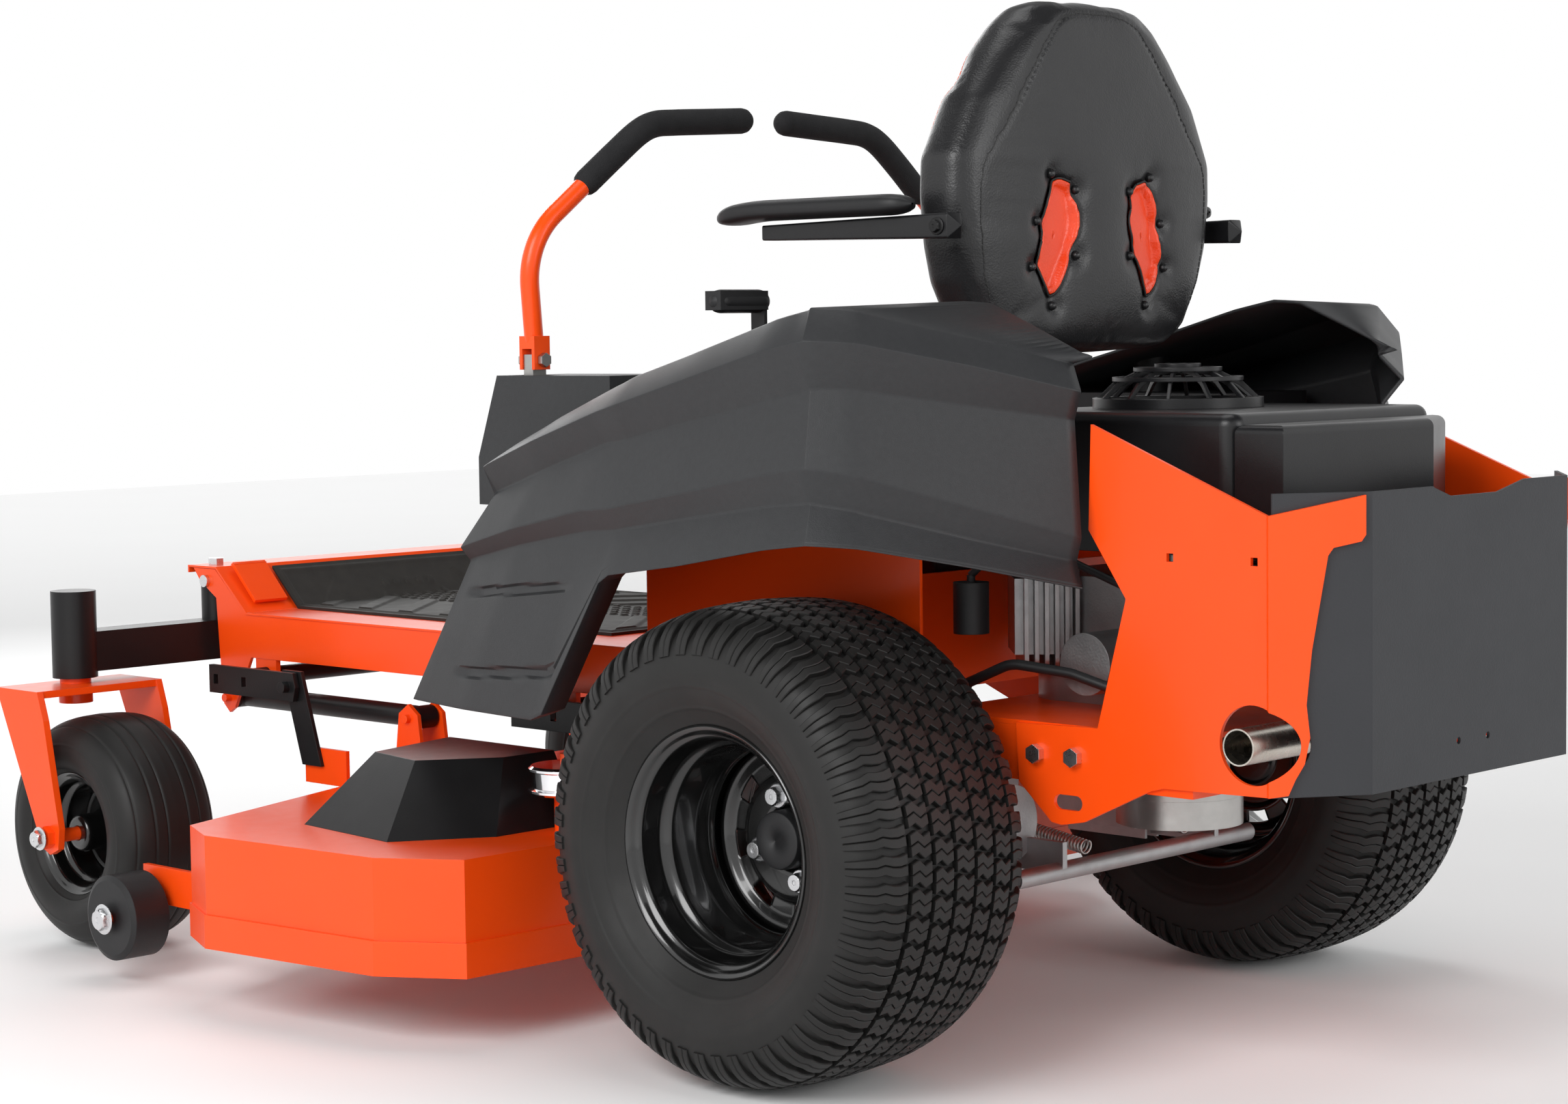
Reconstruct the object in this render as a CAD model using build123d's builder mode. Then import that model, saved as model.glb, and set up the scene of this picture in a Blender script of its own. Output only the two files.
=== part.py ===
from build123d import *
import os
from math import cos, sin, radians, tan

os.makedirs("parts", exist_ok=True)

# Zero turn mower, 54-inch class.  Everything is drawn with X across the machine (+X is the
# driver's right), Y forwards from the rear axle and Z up from the ground.  The saved pieces are
# moved so that the origin is on the ground, in the middle of the machine's own box.

# ---- driving dimensions, in millimetres -------------------------------------------------------
CHUTE_EDGE_X = 985.0          # outer edge of the discharge chute, right
DECK_EDGE_X = 715.0           # outer edge of the deck, left and right
BUMPER_Y = -618.0             # rear face of the bumper
CASTER_RADIUS = 163.5         # 13 x 6.5 - 6 tyre
CASTER_AXLE_Y = 1278.0
NOSE_Y = CASTER_AXLE_Y + CASTER_RADIUS
CENTRE = Location((-(CHUTE_EDGE_X - DECK_EDGE_X) / 2, -(NOSE_Y + BUMPER_Y) / 2, 0))

REAR_RADIUS = 276.0           # 22 x 11 - 10 tyre, standing on the ground
REAR_X = 462.0                # middle of the rear tyre
REAR_DISC_X = 442.0           # outer face of the rim's centre disc
HUB_PCD = 101.6
CASTER_X = 507.0
SPINDLE_Y = 1362.0            # swivel axis of the caster
HOUSING_TOP = 497.0
FORK_TOP = 365.0
FORK_HALF = 104.0

SHEET = 5.0                   # frame plate
RAIL_OUT = 290.0              # outer face of the frame rails
RAIL_WIDE = 50.0
RAIL_TOP = 452.0
RAIL_TALL = 62.0
RAIL_DROP = 45.0              # how much lower the rails run at the engine
FLOOR_Z = 452.0               # underside of the floor pan
LIP_Z = 519.0                 # top of the lip in front of the toe board
ENGINE_PLATE_Z = 407.0        # underside of the engine plate

CRANK_Y = -215.0
SHROUD_TOP = 758.0
CLUTCH_R = 76.0

DECK_TOP = 233.0
DECK_BOTTOM = 90.0
DECK_WALL = 4.5
BLADE_LONG = 466.0
SPINDLE_X = 450.0
SIDE_SPINDLE_Y = 612.0
MID_SPINDLE_Y = 757.0

ROCKER_Z = 366.0              # lift shafts under the rails
ROCKER_ARM = 142.0
FRONT_ROCKER_Y = 1204.0
REAR_ROCKER_Y = 562.0
HANGER_X = RAIL_OUT - 5.0     # plates that carry the lift shafts, outboard of the trailing tubes
FRONT_LINK_X = 356.0
REAR_LINK_X = 341.0
TRAIL_Y = 1293.0              # front pivot of the trailing tubes
TRAIL_Z = 328.0
TRAIL_LONG = 408.0
TRAIL_X = 262.0

LEVER_X = 393.0               # steering lever where it leaves the console
LEVER_Y = 488.0
LEVER_PIVOT_Z = 730.0
SWING_Z = 822.0               # bolt on which the lap bar swings out
BLOCK_OVER_BOLT = 7.0         # lever block above that bolt, inside the clevis as it turns
BAR_R = 12.0
GRIP_R = 17.0
CONSOLE_TOP = 803.0

SEAT_HINGE_Y = 405.0
SEAT_HINGE_Z = 662.0
ARMREST_Y = -88.0
ARMREST_Z = 972.0
FIT = 0.05                    # radial running clearance


def save(piece, label):
    """Name a piece, move it to the machine's own origin and write its STEP file."""
    moved = piece.part.moved(CENTRE)
    moved.label = label
    export_step(moved, f"parts/{label}.step")


def mirrored(piece):
    """The same piece on the other side of the machine's centre plane."""
    with BuildPart() as other:
        mirror(piece.part, about=Plane.YZ)
    return other


def across(centre):
    """Sketch plane through a wheel's axle: local x runs outboard, local y is the radius."""
    return Plane(origin=centre, x_dir=(1, 0, 0), z_dir=(0, -1, 0))


def plate_yz(points, x_from, thick):
    """Flat plate in a side view: Y, Z points, standing from x_from towards +X."""
    with BuildPart() as plate:
        with BuildSketch(Plane.YZ.offset(x_from)):
            with BuildLine():
                Polyline(*points, close=True)
            make_face()
        extrude(amount=thick)
    return plate.part


def rod(start, end, radius):
    """Round bar between two points."""
    axis = Vector(*end) - Vector(*start)
    with BuildPart() as bar:
        with BuildSketch(Plane(origin=start, z_dir=axis)):
            Circle(radius)
        extrude(amount=axis.length)
    return bar.part


def block(low, high):
    """Rectangular block between two corners."""
    with BuildPart() as box:
        with Locations(tuple(low)):
            Box(*[high[i] - low[i] for i in range(3)], align=(Align.MIN, Align.MIN, Align.MIN))
    return box.part


def bent_tube(points, radii, outer, inner=0.0):
    """Tube along straight runs joined by tangent arcs, one radius for each corner."""
    corners = [Vector(*point) for point in points]
    with BuildPart() as tube:
        with BuildLine() as route:
            here = corners[0]
            for before, corner, after, radius in zip(corners, corners[1:], corners[2:], radii):
                back = (before - corner).normalized()
                ahead = (after - corner).normalized()
                half_turn = radians(180 - back.get_angle(ahead)) / 2
                reach = radius * tan(half_turn)
                middle = corner + (back + ahead).normalized() * (radius / cos(half_turn) - radius)
                Line(here, corner + back * reach)
                ThreePointArc(corner + back * reach, middle, corner + ahead * reach)
                here = corner + ahead * reach
            Line(here, corners[-1])
        with BuildSketch(Plane(origin=route.line @ 0, z_dir=route.line % 0)):
            Circle(outer)
            if inner:
                Circle(inner, mode=Mode.SUBTRACT)
        sweep()
    return tube.part


# ---- tyres and rims ---------------------------------------------------------------------------
def tyre(centre, radius, half_wide, tread_half, bead_radius, bead_half, wall):
    """Pneumatic tyre: rounded tread, bulging side walls, open between the beads."""
    bulge = bead_radius + 0.52 * (radius - bead_radius)
    shoulder = 0.955 * radius
    with BuildPart() as casing:
        with BuildSketch(across(centre)):
            with BuildLine():
                Line((-bead_half, bead_radius), (bead_half, bead_radius))
                for end in (-1, 1):
                    Line((end * bead_half, bead_radius), (end * bead_half, bead_radius + 16))
                    ThreePointArc((end * bead_half, bead_radius + 16), (end * half_wide, bulge),
                                  (end * tread_half, shoulder))
                ThreePointArc((-tread_half, shoulder), (0, radius), (tread_half, shoulder))
            make_face()
            offset(amount=-wall, mode=Mode.SUBTRACT)
            with Locations((0, bead_radius)):
                Rectangle(2 * (bead_half - 2 * wall), 4 * wall, mode=Mode.SUBTRACT)
        revolve(axis=Axis(centre, (1, 0, 0)))
    return casing


def rim(centre, side, seat_radius, flange_radius, half_wide, disc_at, disc_thick, hub_radius):
    """Pressed steel rim: a barrel with a rolled flange on each side and one centre disc."""
    steel = 3.0
    with BuildPart() as wheel:
        with BuildSketch(across(centre)):
            with Locations((0, seat_radius - steel / 2)):
                Rectangle(2 * half_wide, steel)
            for end in (-1, 1):
                with Locations((end * (half_wide + 2), (flange_radius + seat_radius - steel) / 2)):
                    Rectangle(4, flange_radius - seat_radius + steel)
            disc_tall = seat_radius - steel / 2 - hub_radius
            with Locations((side * (disc_at - disc_thick / 2), hub_radius + disc_tall / 2)):
                Rectangle(disc_thick, disc_tall)
        revolve(axis=Axis(centre, (1, 0, 0)))
    return wheel


rear_centre = (-REAR_X, 0, REAR_RADIUS)
tyre_rear_left = tyre(rear_centre, REAR_RADIUS, 139.5, 108, 128.3, 105, 9)
save(tyre_rear_left, "tyre_rear_left")
tyre_rear_right = mirrored(tyre_rear_left)
save(tyre_rear_right, "tyre_rear_right")

disc_at = REAR_DISC_X - REAR_X
with BuildPart() as rim_rear_left:
    add(rim(rear_centre, -1, 128, 141, 106, disc_at, 8, 0).part)
    # vent holes between the studs
    with BuildSketch(Plane(origin=(-REAR_DISC_X - 1, 0, REAR_RADIUS), z_dir=(1, 0, 0))):
        with PolarLocations(88, 4):
            Circle(12)
    extrude(amount=12, mode=Mode.SUBTRACT)
    # hub flange and half shaft on the inboard side
    add(rod((-REAR_DISC_X + 8, 0, REAR_RADIUS), (-REAR_DISC_X + 22, 0, REAR_RADIUS), 68))
    add(rod((-REAR_DISC_X + 22, 0, REAR_RADIUS), (-250, 0, REAR_RADIUS), 16))
    # dust cap and four wheel bolts on the outboard side
    add(rod((-REAR_DISC_X, 0, REAR_RADIUS), (-REAR_DISC_X - 26, 0, REAR_RADIUS), 33))
    with BuildSketch(Plane(origin=(-REAR_DISC_X, 0, REAR_RADIUS), z_dir=(-1, 0, 0))):
        with PolarLocations(HUB_PCD / 2, 4, start_angle=45):
            RegularPolygon(11, 6)
    extrude(amount=14)
save(rim_rear_left, "rim_rear_left")
rim_rear_right = mirrored(rim_rear_left)
save(rim_rear_right, "rim_rear_right")

caster_centre = (-CASTER_X, CASTER_AXLE_Y, CASTER_RADIUS)
caster_tyre_left = tyre(caster_centre, CASTER_RADIUS, 80, 62, 76.5, 58, 8)
save(caster_tyre_left, "caster_tyre_left")
save(mirrored(caster_tyre_left), "caster_tyre_right")

AXLE_R = 9.5
with BuildPart() as caster_rim_left:
    add(rim(caster_centre, -1, 76.2, 87, 59, 3, 6, 24).part)
    with BuildSketch(across((-CASTER_X, CASTER_AXLE_Y, CASTER_RADIUS))):
        with Locations((0, (24 + AXLE_R + FIT) / 2)):
            Rectangle(150, 24 - AXLE_R - FIT)
    revolve(axis=Axis(caster_centre, (1, 0, 0)))
save(caster_rim_left, "caster_rim_left")
save(mirrored(caster_rim_left), "caster_rim_right")

# ---- caster fork: bent plate, swivel pin, axle bolt -------------------------------------------
ARM = 10.0
fork_arm = [
    (SPINDLE_Y + 42, FORK_TOP), (SPINDLE_Y - 62, FORK_TOP), (SPINDLE_Y - 76, FORK_TOP - 40),
    (CASTER_AXLE_Y - 24, CASTER_RADIUS + 12), (CASTER_AXLE_Y - 20, CASTER_RADIUS - 16),
    (CASTER_AXLE_Y, CASTER_RADIUS - 25), (CASTER_AXLE_Y + 20, CASTER_RADIUS - 16),
]
with BuildPart() as caster_fork_left:
    for inner in (-CASTER_X - FORK_HALF, -CASTER_X + FORK_HALF - ARM):
        add(plate_yz(fork_arm, inner, ARM))
    add(block((-CASTER_X - FORK_HALF, SPINDLE_Y - 62, FORK_TOP - ARM),
              (-CASTER_X + FORK_HALF, SPINDLE_Y + 42, FORK_TOP)))
    add(rod((-CASTER_X, SPINDLE_Y, FORK_TOP - 28), (-CASTER_X, SPINDLE_Y, 470), 15.9))
    add(rod((-CASTER_X, SPINDLE_Y, FORK_TOP - 28), (-CASTER_X, SPINDLE_Y, FORK_TOP - ARM), 24))
    add(rod((-CASTER_X, SPINDLE_Y, FORK_TOP), (-CASTER_X, SPINDLE_Y, 372.7), 22))
    axle_end = CASTER_X + FORK_HALF + 16
    add(rod((-axle_end, CASTER_AXLE_Y, CASTER_RADIUS),
            (-CASTER_X + FORK_HALF + 16, CASTER_AXLE_Y, CASTER_RADIUS), AXLE_R))
    for face in (-CASTER_X - FORK_HALF - 11, -CASTER_X + FORK_HALF):
        with BuildSketch(Plane(origin=(face, CASTER_AXLE_Y, CASTER_RADIUS), z_dir=(1, 0, 0))):
            RegularPolygon(16, 6)
        extrude(amount=11)
save(caster_fork_left, "caster_fork_left")
save(mirrored(caster_fork_left), "caster_fork_right")

# ---- front axle: cross tube with a swivel housing at each end ---------------------------------
AXLE_BEAM_Z = (381.0, 438.0)
with BuildPart() as front_axle:
    add(block((-CASTER_X + 20, SPINDLE_Y - 25, AXLE_BEAM_Z[0]),
              (CASTER_X - 20, SPINDLE_Y + 25, AXLE_BEAM_Z[1])))
    for side in (-1, 1):
        add(rod((side * CASTER_X, SPINDLE_Y, 373), (side * CASTER_X, SPINDLE_Y, HOUSING_TOP), 32))
        add(rod((side * 262, SPINDLE_Y, 430), (side * 262, SPINDLE_Y, LIP_Z - 3.5), 20))
    for side in (-1, 1):
        with Locations((side * CASTER_X, SPINDLE_Y, 373)):
            Cylinder(15.9 + FIT, 200, mode=Mode.SUBTRACT)
        add(rod((side * CASTER_X, SPINDLE_Y, 473), (side * CASTER_X, SPINDLE_Y, HOUSING_TOP), 31.9))
save(front_axle, "front_axle")

# ---- frame: two box rails, cross members, seat uprights ---------------------------------------
LOW_TOP = RAIL_TOP - RAIL_DROP
rail_side = [
    (1238, RAIL_TOP), (1238, RAIL_TOP - RAIL_TALL), (340, RAIL_TOP - RAIL_TALL),
    (230, LOW_TOP - RAIL_TALL), (-450, LOW_TOP - RAIL_TALL), (-450, LOW_TOP), (230, LOW_TOP),
    (340, RAIL_TOP),
]
nose_side = [
    (1375, LIP_Z - 3.5), (1358, 496), (1320, 473), (1314, 393), (1307, 318), (1293, 306),
    (1280, 314), (1238, RAIL_TOP - RAIL_TALL), (1238, RAIL_TOP), (1248, RAIL_TOP - 0.1),
    (1322, LIP_Z - 3.5),
]
with BuildPart() as frame_rails:
    for side in (-1, 1):
        outer = side * RAIL_OUT
        inner_x = -RAIL_OUT if side < 0 else RAIL_OUT - RAIL_WIDE
        add(plate_yz(rail_side, inner_x, RAIL_WIDE))
        add(plate_yz(nose_side, -RAIL_OUT if side < 0 else RAIL_OUT - SHEET, SHEET))
        # pivot bolt of the trailing tube
        add(rod((outer - side * 52, TRAIL_Y, TRAIL_Z), (outer + side * 10, TRAIL_Y, TRAIL_Z), 6))
        # hangers that carry the lift shafts
        for shaft_y in (FRONT_ROCKER_Y, REAR_ROCKER_Y):
            add(block((side * HANGER_X - 4, shaft_y - 24, ROCKER_Z - 22),
                      (side * HANGER_X + 4, shaft_y + 24, RAIL_TOP - RAIL_TALL)))
        # seat upright
        add(block((outer - side * 2.5 - 2.5, -60, LOW_TOP), (outer - side * 2.5 + 2.5, 400, 655)))
        # bearing of the steering lever
        add(block((side * 305 - 15, 470, 700), (side * 305 + 15, 506, 752)))
        add(block((side * 293 - 8, 390, 700), (side * 293 + 8, 480, 718)))
        add(block((side * 287.5 - 2.5, 390, 640), (side * 287.5 + 2.5, 470, 718)))
        with Locations((side * 310, LEVER_Y, LEVER_PIVOT_Z)):
            Cylinder(9 + FIT, 60, rotation=(0, 90, 0), mode=Mode.SUBTRACT)
    for y in (380, 900, 1180):
        add(block((-RAIL_OUT + RAIL_WIDE, y, RAIL_TOP - 56),
                  (RAIL_OUT - RAIL_WIDE, y + 40, RAIL_TOP - 4)))
    add(block((-RAIL_OUT, 395, RAIL_TOP), (RAIL_OUT, 400, 650)))
    # pivot pin of the brake lever
    add(rod((-RAIL_OUT, 191, 640), (-RAIL_OUT - 11, 191, 640), 6))
    add(block((-RAIL_OUT, 30, LOW_TOP + 10), (RAIL_OUT, 35, 560)))
    for side in (-1, 1):
        for shaft_y in (FRONT_ROCKER_Y, REAR_ROCKER_Y):
            with Locations((side * HANGER_X, shaft_y, ROCKER_Z)):
                Cylinder(12.7 + FIT, 20, rotation=(0, 90, 0), mode=Mode.SUBTRACT)
    # slots of the nose plates over the axle beam
    add(block((-300, SPINDLE_Y - 26, AXLE_BEAM_Z[0] - 1), (300, SPINDLE_Y + 26, AXLE_BEAM_Z[1] + 1)),
        mode=Mode.SUBTRACT)
    for side in (-1, 1):
        add(rod((side * 262, SPINDLE_Y, 430), (side * 262, SPINDLE_Y, LIP_Z), 20.5),
            mode=Mode.SUBTRACT)
save(frame_rails, "frame_rails")

# ---- foot deck: floor pan, sloped toe board, front lip ----------------------------------------
PAN = 3.0
SCALE_X, SCALE_WIDE = -272.0, 58.0
toe_bottom = (1246.0, FLOOR_Z)
toe_top = (1318.0, LIP_Z - PAN)
foot_section = [
    (402, FLOOR_Z), toe_bottom, toe_top, (1383, LIP_Z - PAN), (1383, LIP_Z - 11),
    (1386, LIP_Z - 11), (1386, LIP_Z), (toe_top[0] - 1, LIP_Z),
    (toe_bottom[0] - 1.5, FLOOR_Z + PAN), (402, FLOOR_Z + PAN),
]
with BuildPart() as foot_deck:
    add(plate_yz(foot_section, -RAIL_OUT - 2, 2 * (RAIL_OUT + 2)))
    # plate with the tracking scale on the left, raised on its own bent bracket
    scale = [(1248, 472), (1252, 468), (1306, 521), (1302, 525)]
    add(plate_yz(scale, SCALE_X, SCALE_WIDE))
    add(block((SCALE_X, 1298, LIP_Z - 1), (SCALE_X + SCALE_WIDE, 1306, LIP_Z + 4)))
save(foot_deck, "foot_deck")

mat_low = FLOOR_Z + PAN
with BuildPart() as foot_mat:
    slope = [
        (560, mat_low), (1242, mat_low), (1300, 510.5), (1296, 515.5), (1238, mat_low + 6),
        (560, mat_low + 6),
    ]
    add(plate_yz(slope, -205, 455))
save(foot_mat, "foot_mat")

# ---- rear frame: engine side plates with bent rear flanges, engine plate ----------------------
BEND_Y = -550.0
side_outline = [
    (-317, 748), (BEND_Y, 655), (BEND_Y, 357), (-413, 354), (-395, 349), (-304, 306), (-272, 300),
    (-258, 302), (-211, 344), (-207, 410), (-324, 413), (-364, 558), (-313, 632),
]
FLANGE = Plane(origin=(-RAIL_OUT - SHEET, BEND_Y, 0), x_dir=(92, -66, 0), z_dir=(-66, -92, 0))
flange_outline = [
    (0, 655), (108, 675), (108, 633), (103, 626), (72, 620), (66, 612), (48, 512), (42, 455),
    (46, 420), (40, 392), (30, 376), (22, 359), (0, 357),
]
with BuildPart() as side_plate:
    add(plate_yz(side_outline, -RAIL_OUT - SHEET, SHEET))
    with BuildSketch(FLANGE):
        with BuildLine():
            Polyline(*flange_outline, close=True)
        make_face()
    extrude(amount=SHEET)
    # exhaust opening, across the bend
    with Locations((-RAIL_OUT, -532, 411)):
        Cylinder(43, 120, rotation=(0, 90, 0), mode=Mode.SUBTRACT)
    # tie-down slot and two square accessory holes
    with BuildSketch(Plane.YZ.offset(-RAIL_OUT - 20)):
        with Locations((-282, 326)):
            SlotOverall(40, 17)
        for y in (-424, -534):
            with Locations((y, 606)):
                Rectangle(9, 9)
    extrude(amount=40, mode=Mode.SUBTRACT)
with BuildPart() as rear_frame:
    add(side_plate.part)
    mirror(side_plate.part, about=Plane.YZ)
    add(block((-RAIL_OUT, -450, ENGINE_PLATE_Z), (RAIL_OUT, -66, ENGINE_PLATE_Z + 6)))
    with Locations((0, CRANK_Y, ENGINE_PLATE_Z)):
        Cylinder(40, 30, mode=Mode.SUBTRACT)
save(rear_frame, "rear_frame")

# ---- rear bumper: bent plate with a shallow notch along its top edge --------------------------
BUMPER_HALF = 200.0
BUMPER_LOW = 356.0
BUMPER_HIGH = 678.0
bumper_outer = [(-RAIL_OUT + 0.2, -553.4), (-BUMPER_HALF, BUMPER_Y), (BUMPER_HALF, BUMPER_Y),
                (RAIL_OUT - 0.2, -553.4)]
with BuildPart() as rear_bumper:
    with BuildSketch(Plane.XY.offset(BUMPER_LOW)):
        with BuildLine():
            Polyline(*bumper_outer)
            offset(amount=4, side=Side.LEFT)
        make_face()
    extrude(amount=BUMPER_HIGH - BUMPER_LOW)
    with BuildSketch(Plane.XZ.offset(600)):
        with BuildLine():
            Polyline((-81, 690), (-81, 677), (-46, 666), (51, 666), (109, 678), (109, 690), close=True)
        make_face()
        with BuildLine():
            Polyline((201, 350), (148, 363), (70, 384), (-10, 384), (-60, 350), close=True)
    extrude(amount=30, mode=Mode.SUBTRACT)
    with Locations((-30, BUMPER_Y, 396), (30, BUMPER_Y, 396)):
        Cylinder(4, 20, rotation=(90, 0, 0), mode=Mode.SUBTRACT)
    with Locations((-RAIL_OUT, -532, 411), (RAIL_OUT, -532, 411)):
        Cylinder(46, 160, rotation=(0, 90, 0), mode=Mode.SUBTRACT)
save(rear_bumper, "rear_bumper")

# ---- fenders: moulded covers over the rear wheels ---------------------------------------------
FENDER_IN = 300.0
fender_plan = [(-FENDER_IN, 600), (-470, 660), (-560, 300), (-573, -80), (-562, -160), (-312, -330),
               (-FENDER_IN, -330)]
fender_side = [
    (493, 707), (200, 808), (10, 850), (-110, 881), (-150, 883), (-240, 850), (-335, 812), (-335, 566),
    (-208, 622), (-90, 620), (143, 588), (195, 577), (288, 395), (655, 395), (584, 531),
]
WALL = 4.0
inner_plan = [(-FENDER_IN + 1, 590), (-464, 650), (-556, 299), (-569, -80), (-558, -157),
              (-312, -325), (-FENDER_IN + 1, -325)]
inner_side = [
    (489, 703), (199, 804), (9, 846), (-110, 877), (-149, 879), (-239, 846), (-336, 808), (-336, 520),
    (-208, 600), (-90, 600), (143, 560), (180, 560), (270, 390), (651, 390), (580, 529),
]
CONSOLE_OUT = 420.0
CONSOLE_Y = (322.0, 530.0)


def cross_solid(plan, side_view):
    """Solid whose plan is one outline and whose side view is another."""
    with BuildPart() as solid:
        with BuildSketch(Plane.XY):
            with BuildLine():
                Polyline(*plan, close=True)
            make_face()
        extrude(amount=1000)
        with BuildSketch(Plane.YZ.offset(-700)):
            with BuildLine():
                Polyline(*side_view, close=True)
            make_face()
        extrude(amount=700, mode=Mode.INTERSECT)
    return solid.part


with BuildPart() as fender_left:
    add(cross_solid(fender_plan, fender_side))
    add(cross_solid(inner_plan, inner_side), mode=Mode.SUBTRACT)
    add(block((-CONSOLE_OUT - 1, CONSOLE_Y[0] - 1, 600), (-200, 620, 900)), mode=Mode.SUBTRACT)
save(fender_left, "fender_left")
with BuildPart() as fender_right:
    add(mirrored(fender_left).part)
    # hole for the fuel filler neck
    with Locations((430, 150, 800)):
        Cylinder(28, 120, mode=Mode.SUBTRACT)
save(fender_right, "fender_right")

# ---- consoles: lever boxes inboard of the fenders ---------------------------------------------
LEVER_SLOT = (452.0, 524.0)
console_side = [(CONSOLE_Y[0], CONSOLE_TOP), (CONSOLE_Y[1], CONSOLE_TOP), (568, 700), (568, 640),
                (CONSOLE_Y[0], 640)]
console_hollow = [(CONSOLE_Y[0] + WALL, CONSOLE_TOP - WALL), (CONSOLE_Y[1] - WALL, CONSOLE_TOP - WALL),
                  (568 - WALL, 699), (568 - WALL, 630), (CONSOLE_Y[0] + WALL, 630)]
with BuildPart() as console_left:
    add(plate_yz(console_side, -CONSOLE_OUT, CONSOLE_OUT - FENDER_IN))
    add(plate_yz(console_hollow, -CONSOLE_OUT + WALL, CONSOLE_OUT - FENDER_IN - 2 * WALL),
        mode=Mode.SUBTRACT)
    add(block((-LEVER_X - 20, LEVER_SLOT[0], CONSOLE_TOP - 10), (-LEVER_X + 20, LEVER_SLOT[1], 810)),
        mode=Mode.SUBTRACT)
    # inboard opening for the lever bearing
    add(block((-322, 380, 630), (-FENDER_IN + 1, 508, 754)), mode=Mode.SUBTRACT)
save(console_left, "console_left")
KEY_Y, SWITCH_Y, CONTROL_X = 350.0, 400.0, 345.0
KEY_R, SWITCH_R = 7.9, 8.9
with BuildPart() as console_right:
    add(mirrored(console_left).part)
    for y, radius in ((KEY_Y, KEY_R), (SWITCH_Y, SWITCH_R)):
        with Locations((CONTROL_X, y, CONSOLE_TOP)):
            Cylinder(radius + 0.1, 20, mode=Mode.SUBTRACT)
save(console_right, "console_right")

# ---- controls on the right console ------------------------------------------------------------
with BuildPart() as ignition_key:
    with Locations((CONTROL_X, KEY_Y, CONSOLE_TOP + 1)):
        Cylinder(KEY_R, 26)
    with Locations((CONTROL_X, KEY_Y, CONSOLE_TOP + 26)):
        Box(4, 26, 24)
save(ignition_key, "ignition_key")

with BuildPart() as blade_switch:
    with Locations((CONTROL_X, SWITCH_Y, CONSOLE_TOP)):
        Cylinder(SWITCH_R, 40)
    with Locations((CONTROL_X, SWITCH_Y, CONSOLE_TOP + 28)):
        Cylinder(19, 16)
save(blade_switch, "blade_switch")

# ---- steering levers: pivot block, lap bar, foam grip -----------------------------------------
bar_points = [
    (-LEVER_X, LEVER_Y, SWING_Z + 16), (-414, 476, 968), (-215, 467, 1122), (-46, 466, 1131),
]
BAR_BENDS = (95, 60)
GRIP_AT = 0.5                 # share of the second run left bare
bend = [bar_points[1][i] + GRIP_AT * (bar_points[2][i] - bar_points[1][i]) for i in range(3)]
grip_points = [bend, bar_points[2], bar_points[3]]
with BuildPart() as lap_bar_left:
    add(bent_tube(bar_points, BAR_BENDS, BAR_R))
    # clevis that carries the tube on the lever block
    for y in (LEVER_Y - 14, LEVER_Y + 9):
        add(block((-LEVER_X - 13, y, SWING_Z - 12), (-LEVER_X + 13, y + 5, SWING_Z + 30)))
    add(block((-LEVER_X - 13, LEVER_Y - 14, SWING_Z + 14), (-LEVER_X + 13, LEVER_Y + 14, SWING_Z + 30)))
    with Locations((-LEVER_X, LEVER_Y, SWING_Z)):
        Cylinder(5 + FIT, 60, rotation=(90, 0, 0), mode=Mode.SUBTRACT)
save(lap_bar_left, "lap_bar_left")
save(mirrored(lap_bar_left), "lap_bar_right")

with BuildPart() as grip_left:
    add(bent_tube(grip_points, BAR_BENDS[1:], GRIP_R, BAR_R + 0.3))
    tip = Vector(*bar_points[3])
    add(rod(tuple(tip + Vector(2, 0, 0)), tuple(tip + Vector(7, 0, 0)), GRIP_R))
save(grip_left, "grip_left")
save(mirrored(grip_left), "grip_right")

with BuildPart() as lever_pivot_left:
    add(block((-LEVER_X - 11, LEVER_Y - 8.5, LEVER_PIVOT_Z - 14),
              (-LEVER_X + 11, LEVER_Y + 8.5, SWING_Z + BLOCK_OVER_BOLT)))
    add(rod((-LEVER_X - 16, LEVER_Y, LEVER_PIVOT_Z), (-RAIL_OUT - 12, LEVER_Y, LEVER_PIVOT_Z), 9))
    add(rod((-LEVER_X, LEVER_Y - 22, SWING_Z), (-LEVER_X, LEVER_Y + 22, SWING_Z), 5))
    for y in (LEVER_Y - 22, LEVER_Y + 15):
        with BuildSketch(Plane(origin=(-LEVER_X, y, SWING_Z), z_dir=(0, 1, 0))):
            RegularPolygon(9, 6)
        extrude(amount=7)
save(lever_pivot_left, "lever_pivot_left")
save(mirrored(lever_pivot_left), "lever_pivot_right")

# ---- parking brake lever ----------------------------------------------------------------------
with BuildPart() as brake_lever:
    add(block((-296.5, 180, 620), (-291, 202, 884)))
    add(block((-372, 178, 880), (-291, 204, 903)))
    with Locations((-293, 191, 640)):
        Cylinder(6 + FIT, 30, rotation=(0, 90, 0), mode=Mode.SUBTRACT)
save(brake_lever, "brake_lever")

# ---- seat -------------------------------------------------------------------------------------
with BuildPart() as seat_pan:
    add(block((-225, -70, 668), (225, 400, 674)))
    for x in (-150, 150):
        add(block((x - 14, -40, 674), (x + 14, 380, 698)))
    add(rod((-225, SEAT_HINGE_Y, SEAT_HINGE_Z), (225, SEAT_HINGE_Y, SEAT_HINGE_Z), 7))
    add(block((-225, 396, SEAT_HINGE_Z + 2), (225, 404, 674)))
save(seat_pan, "seat_pan")

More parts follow.
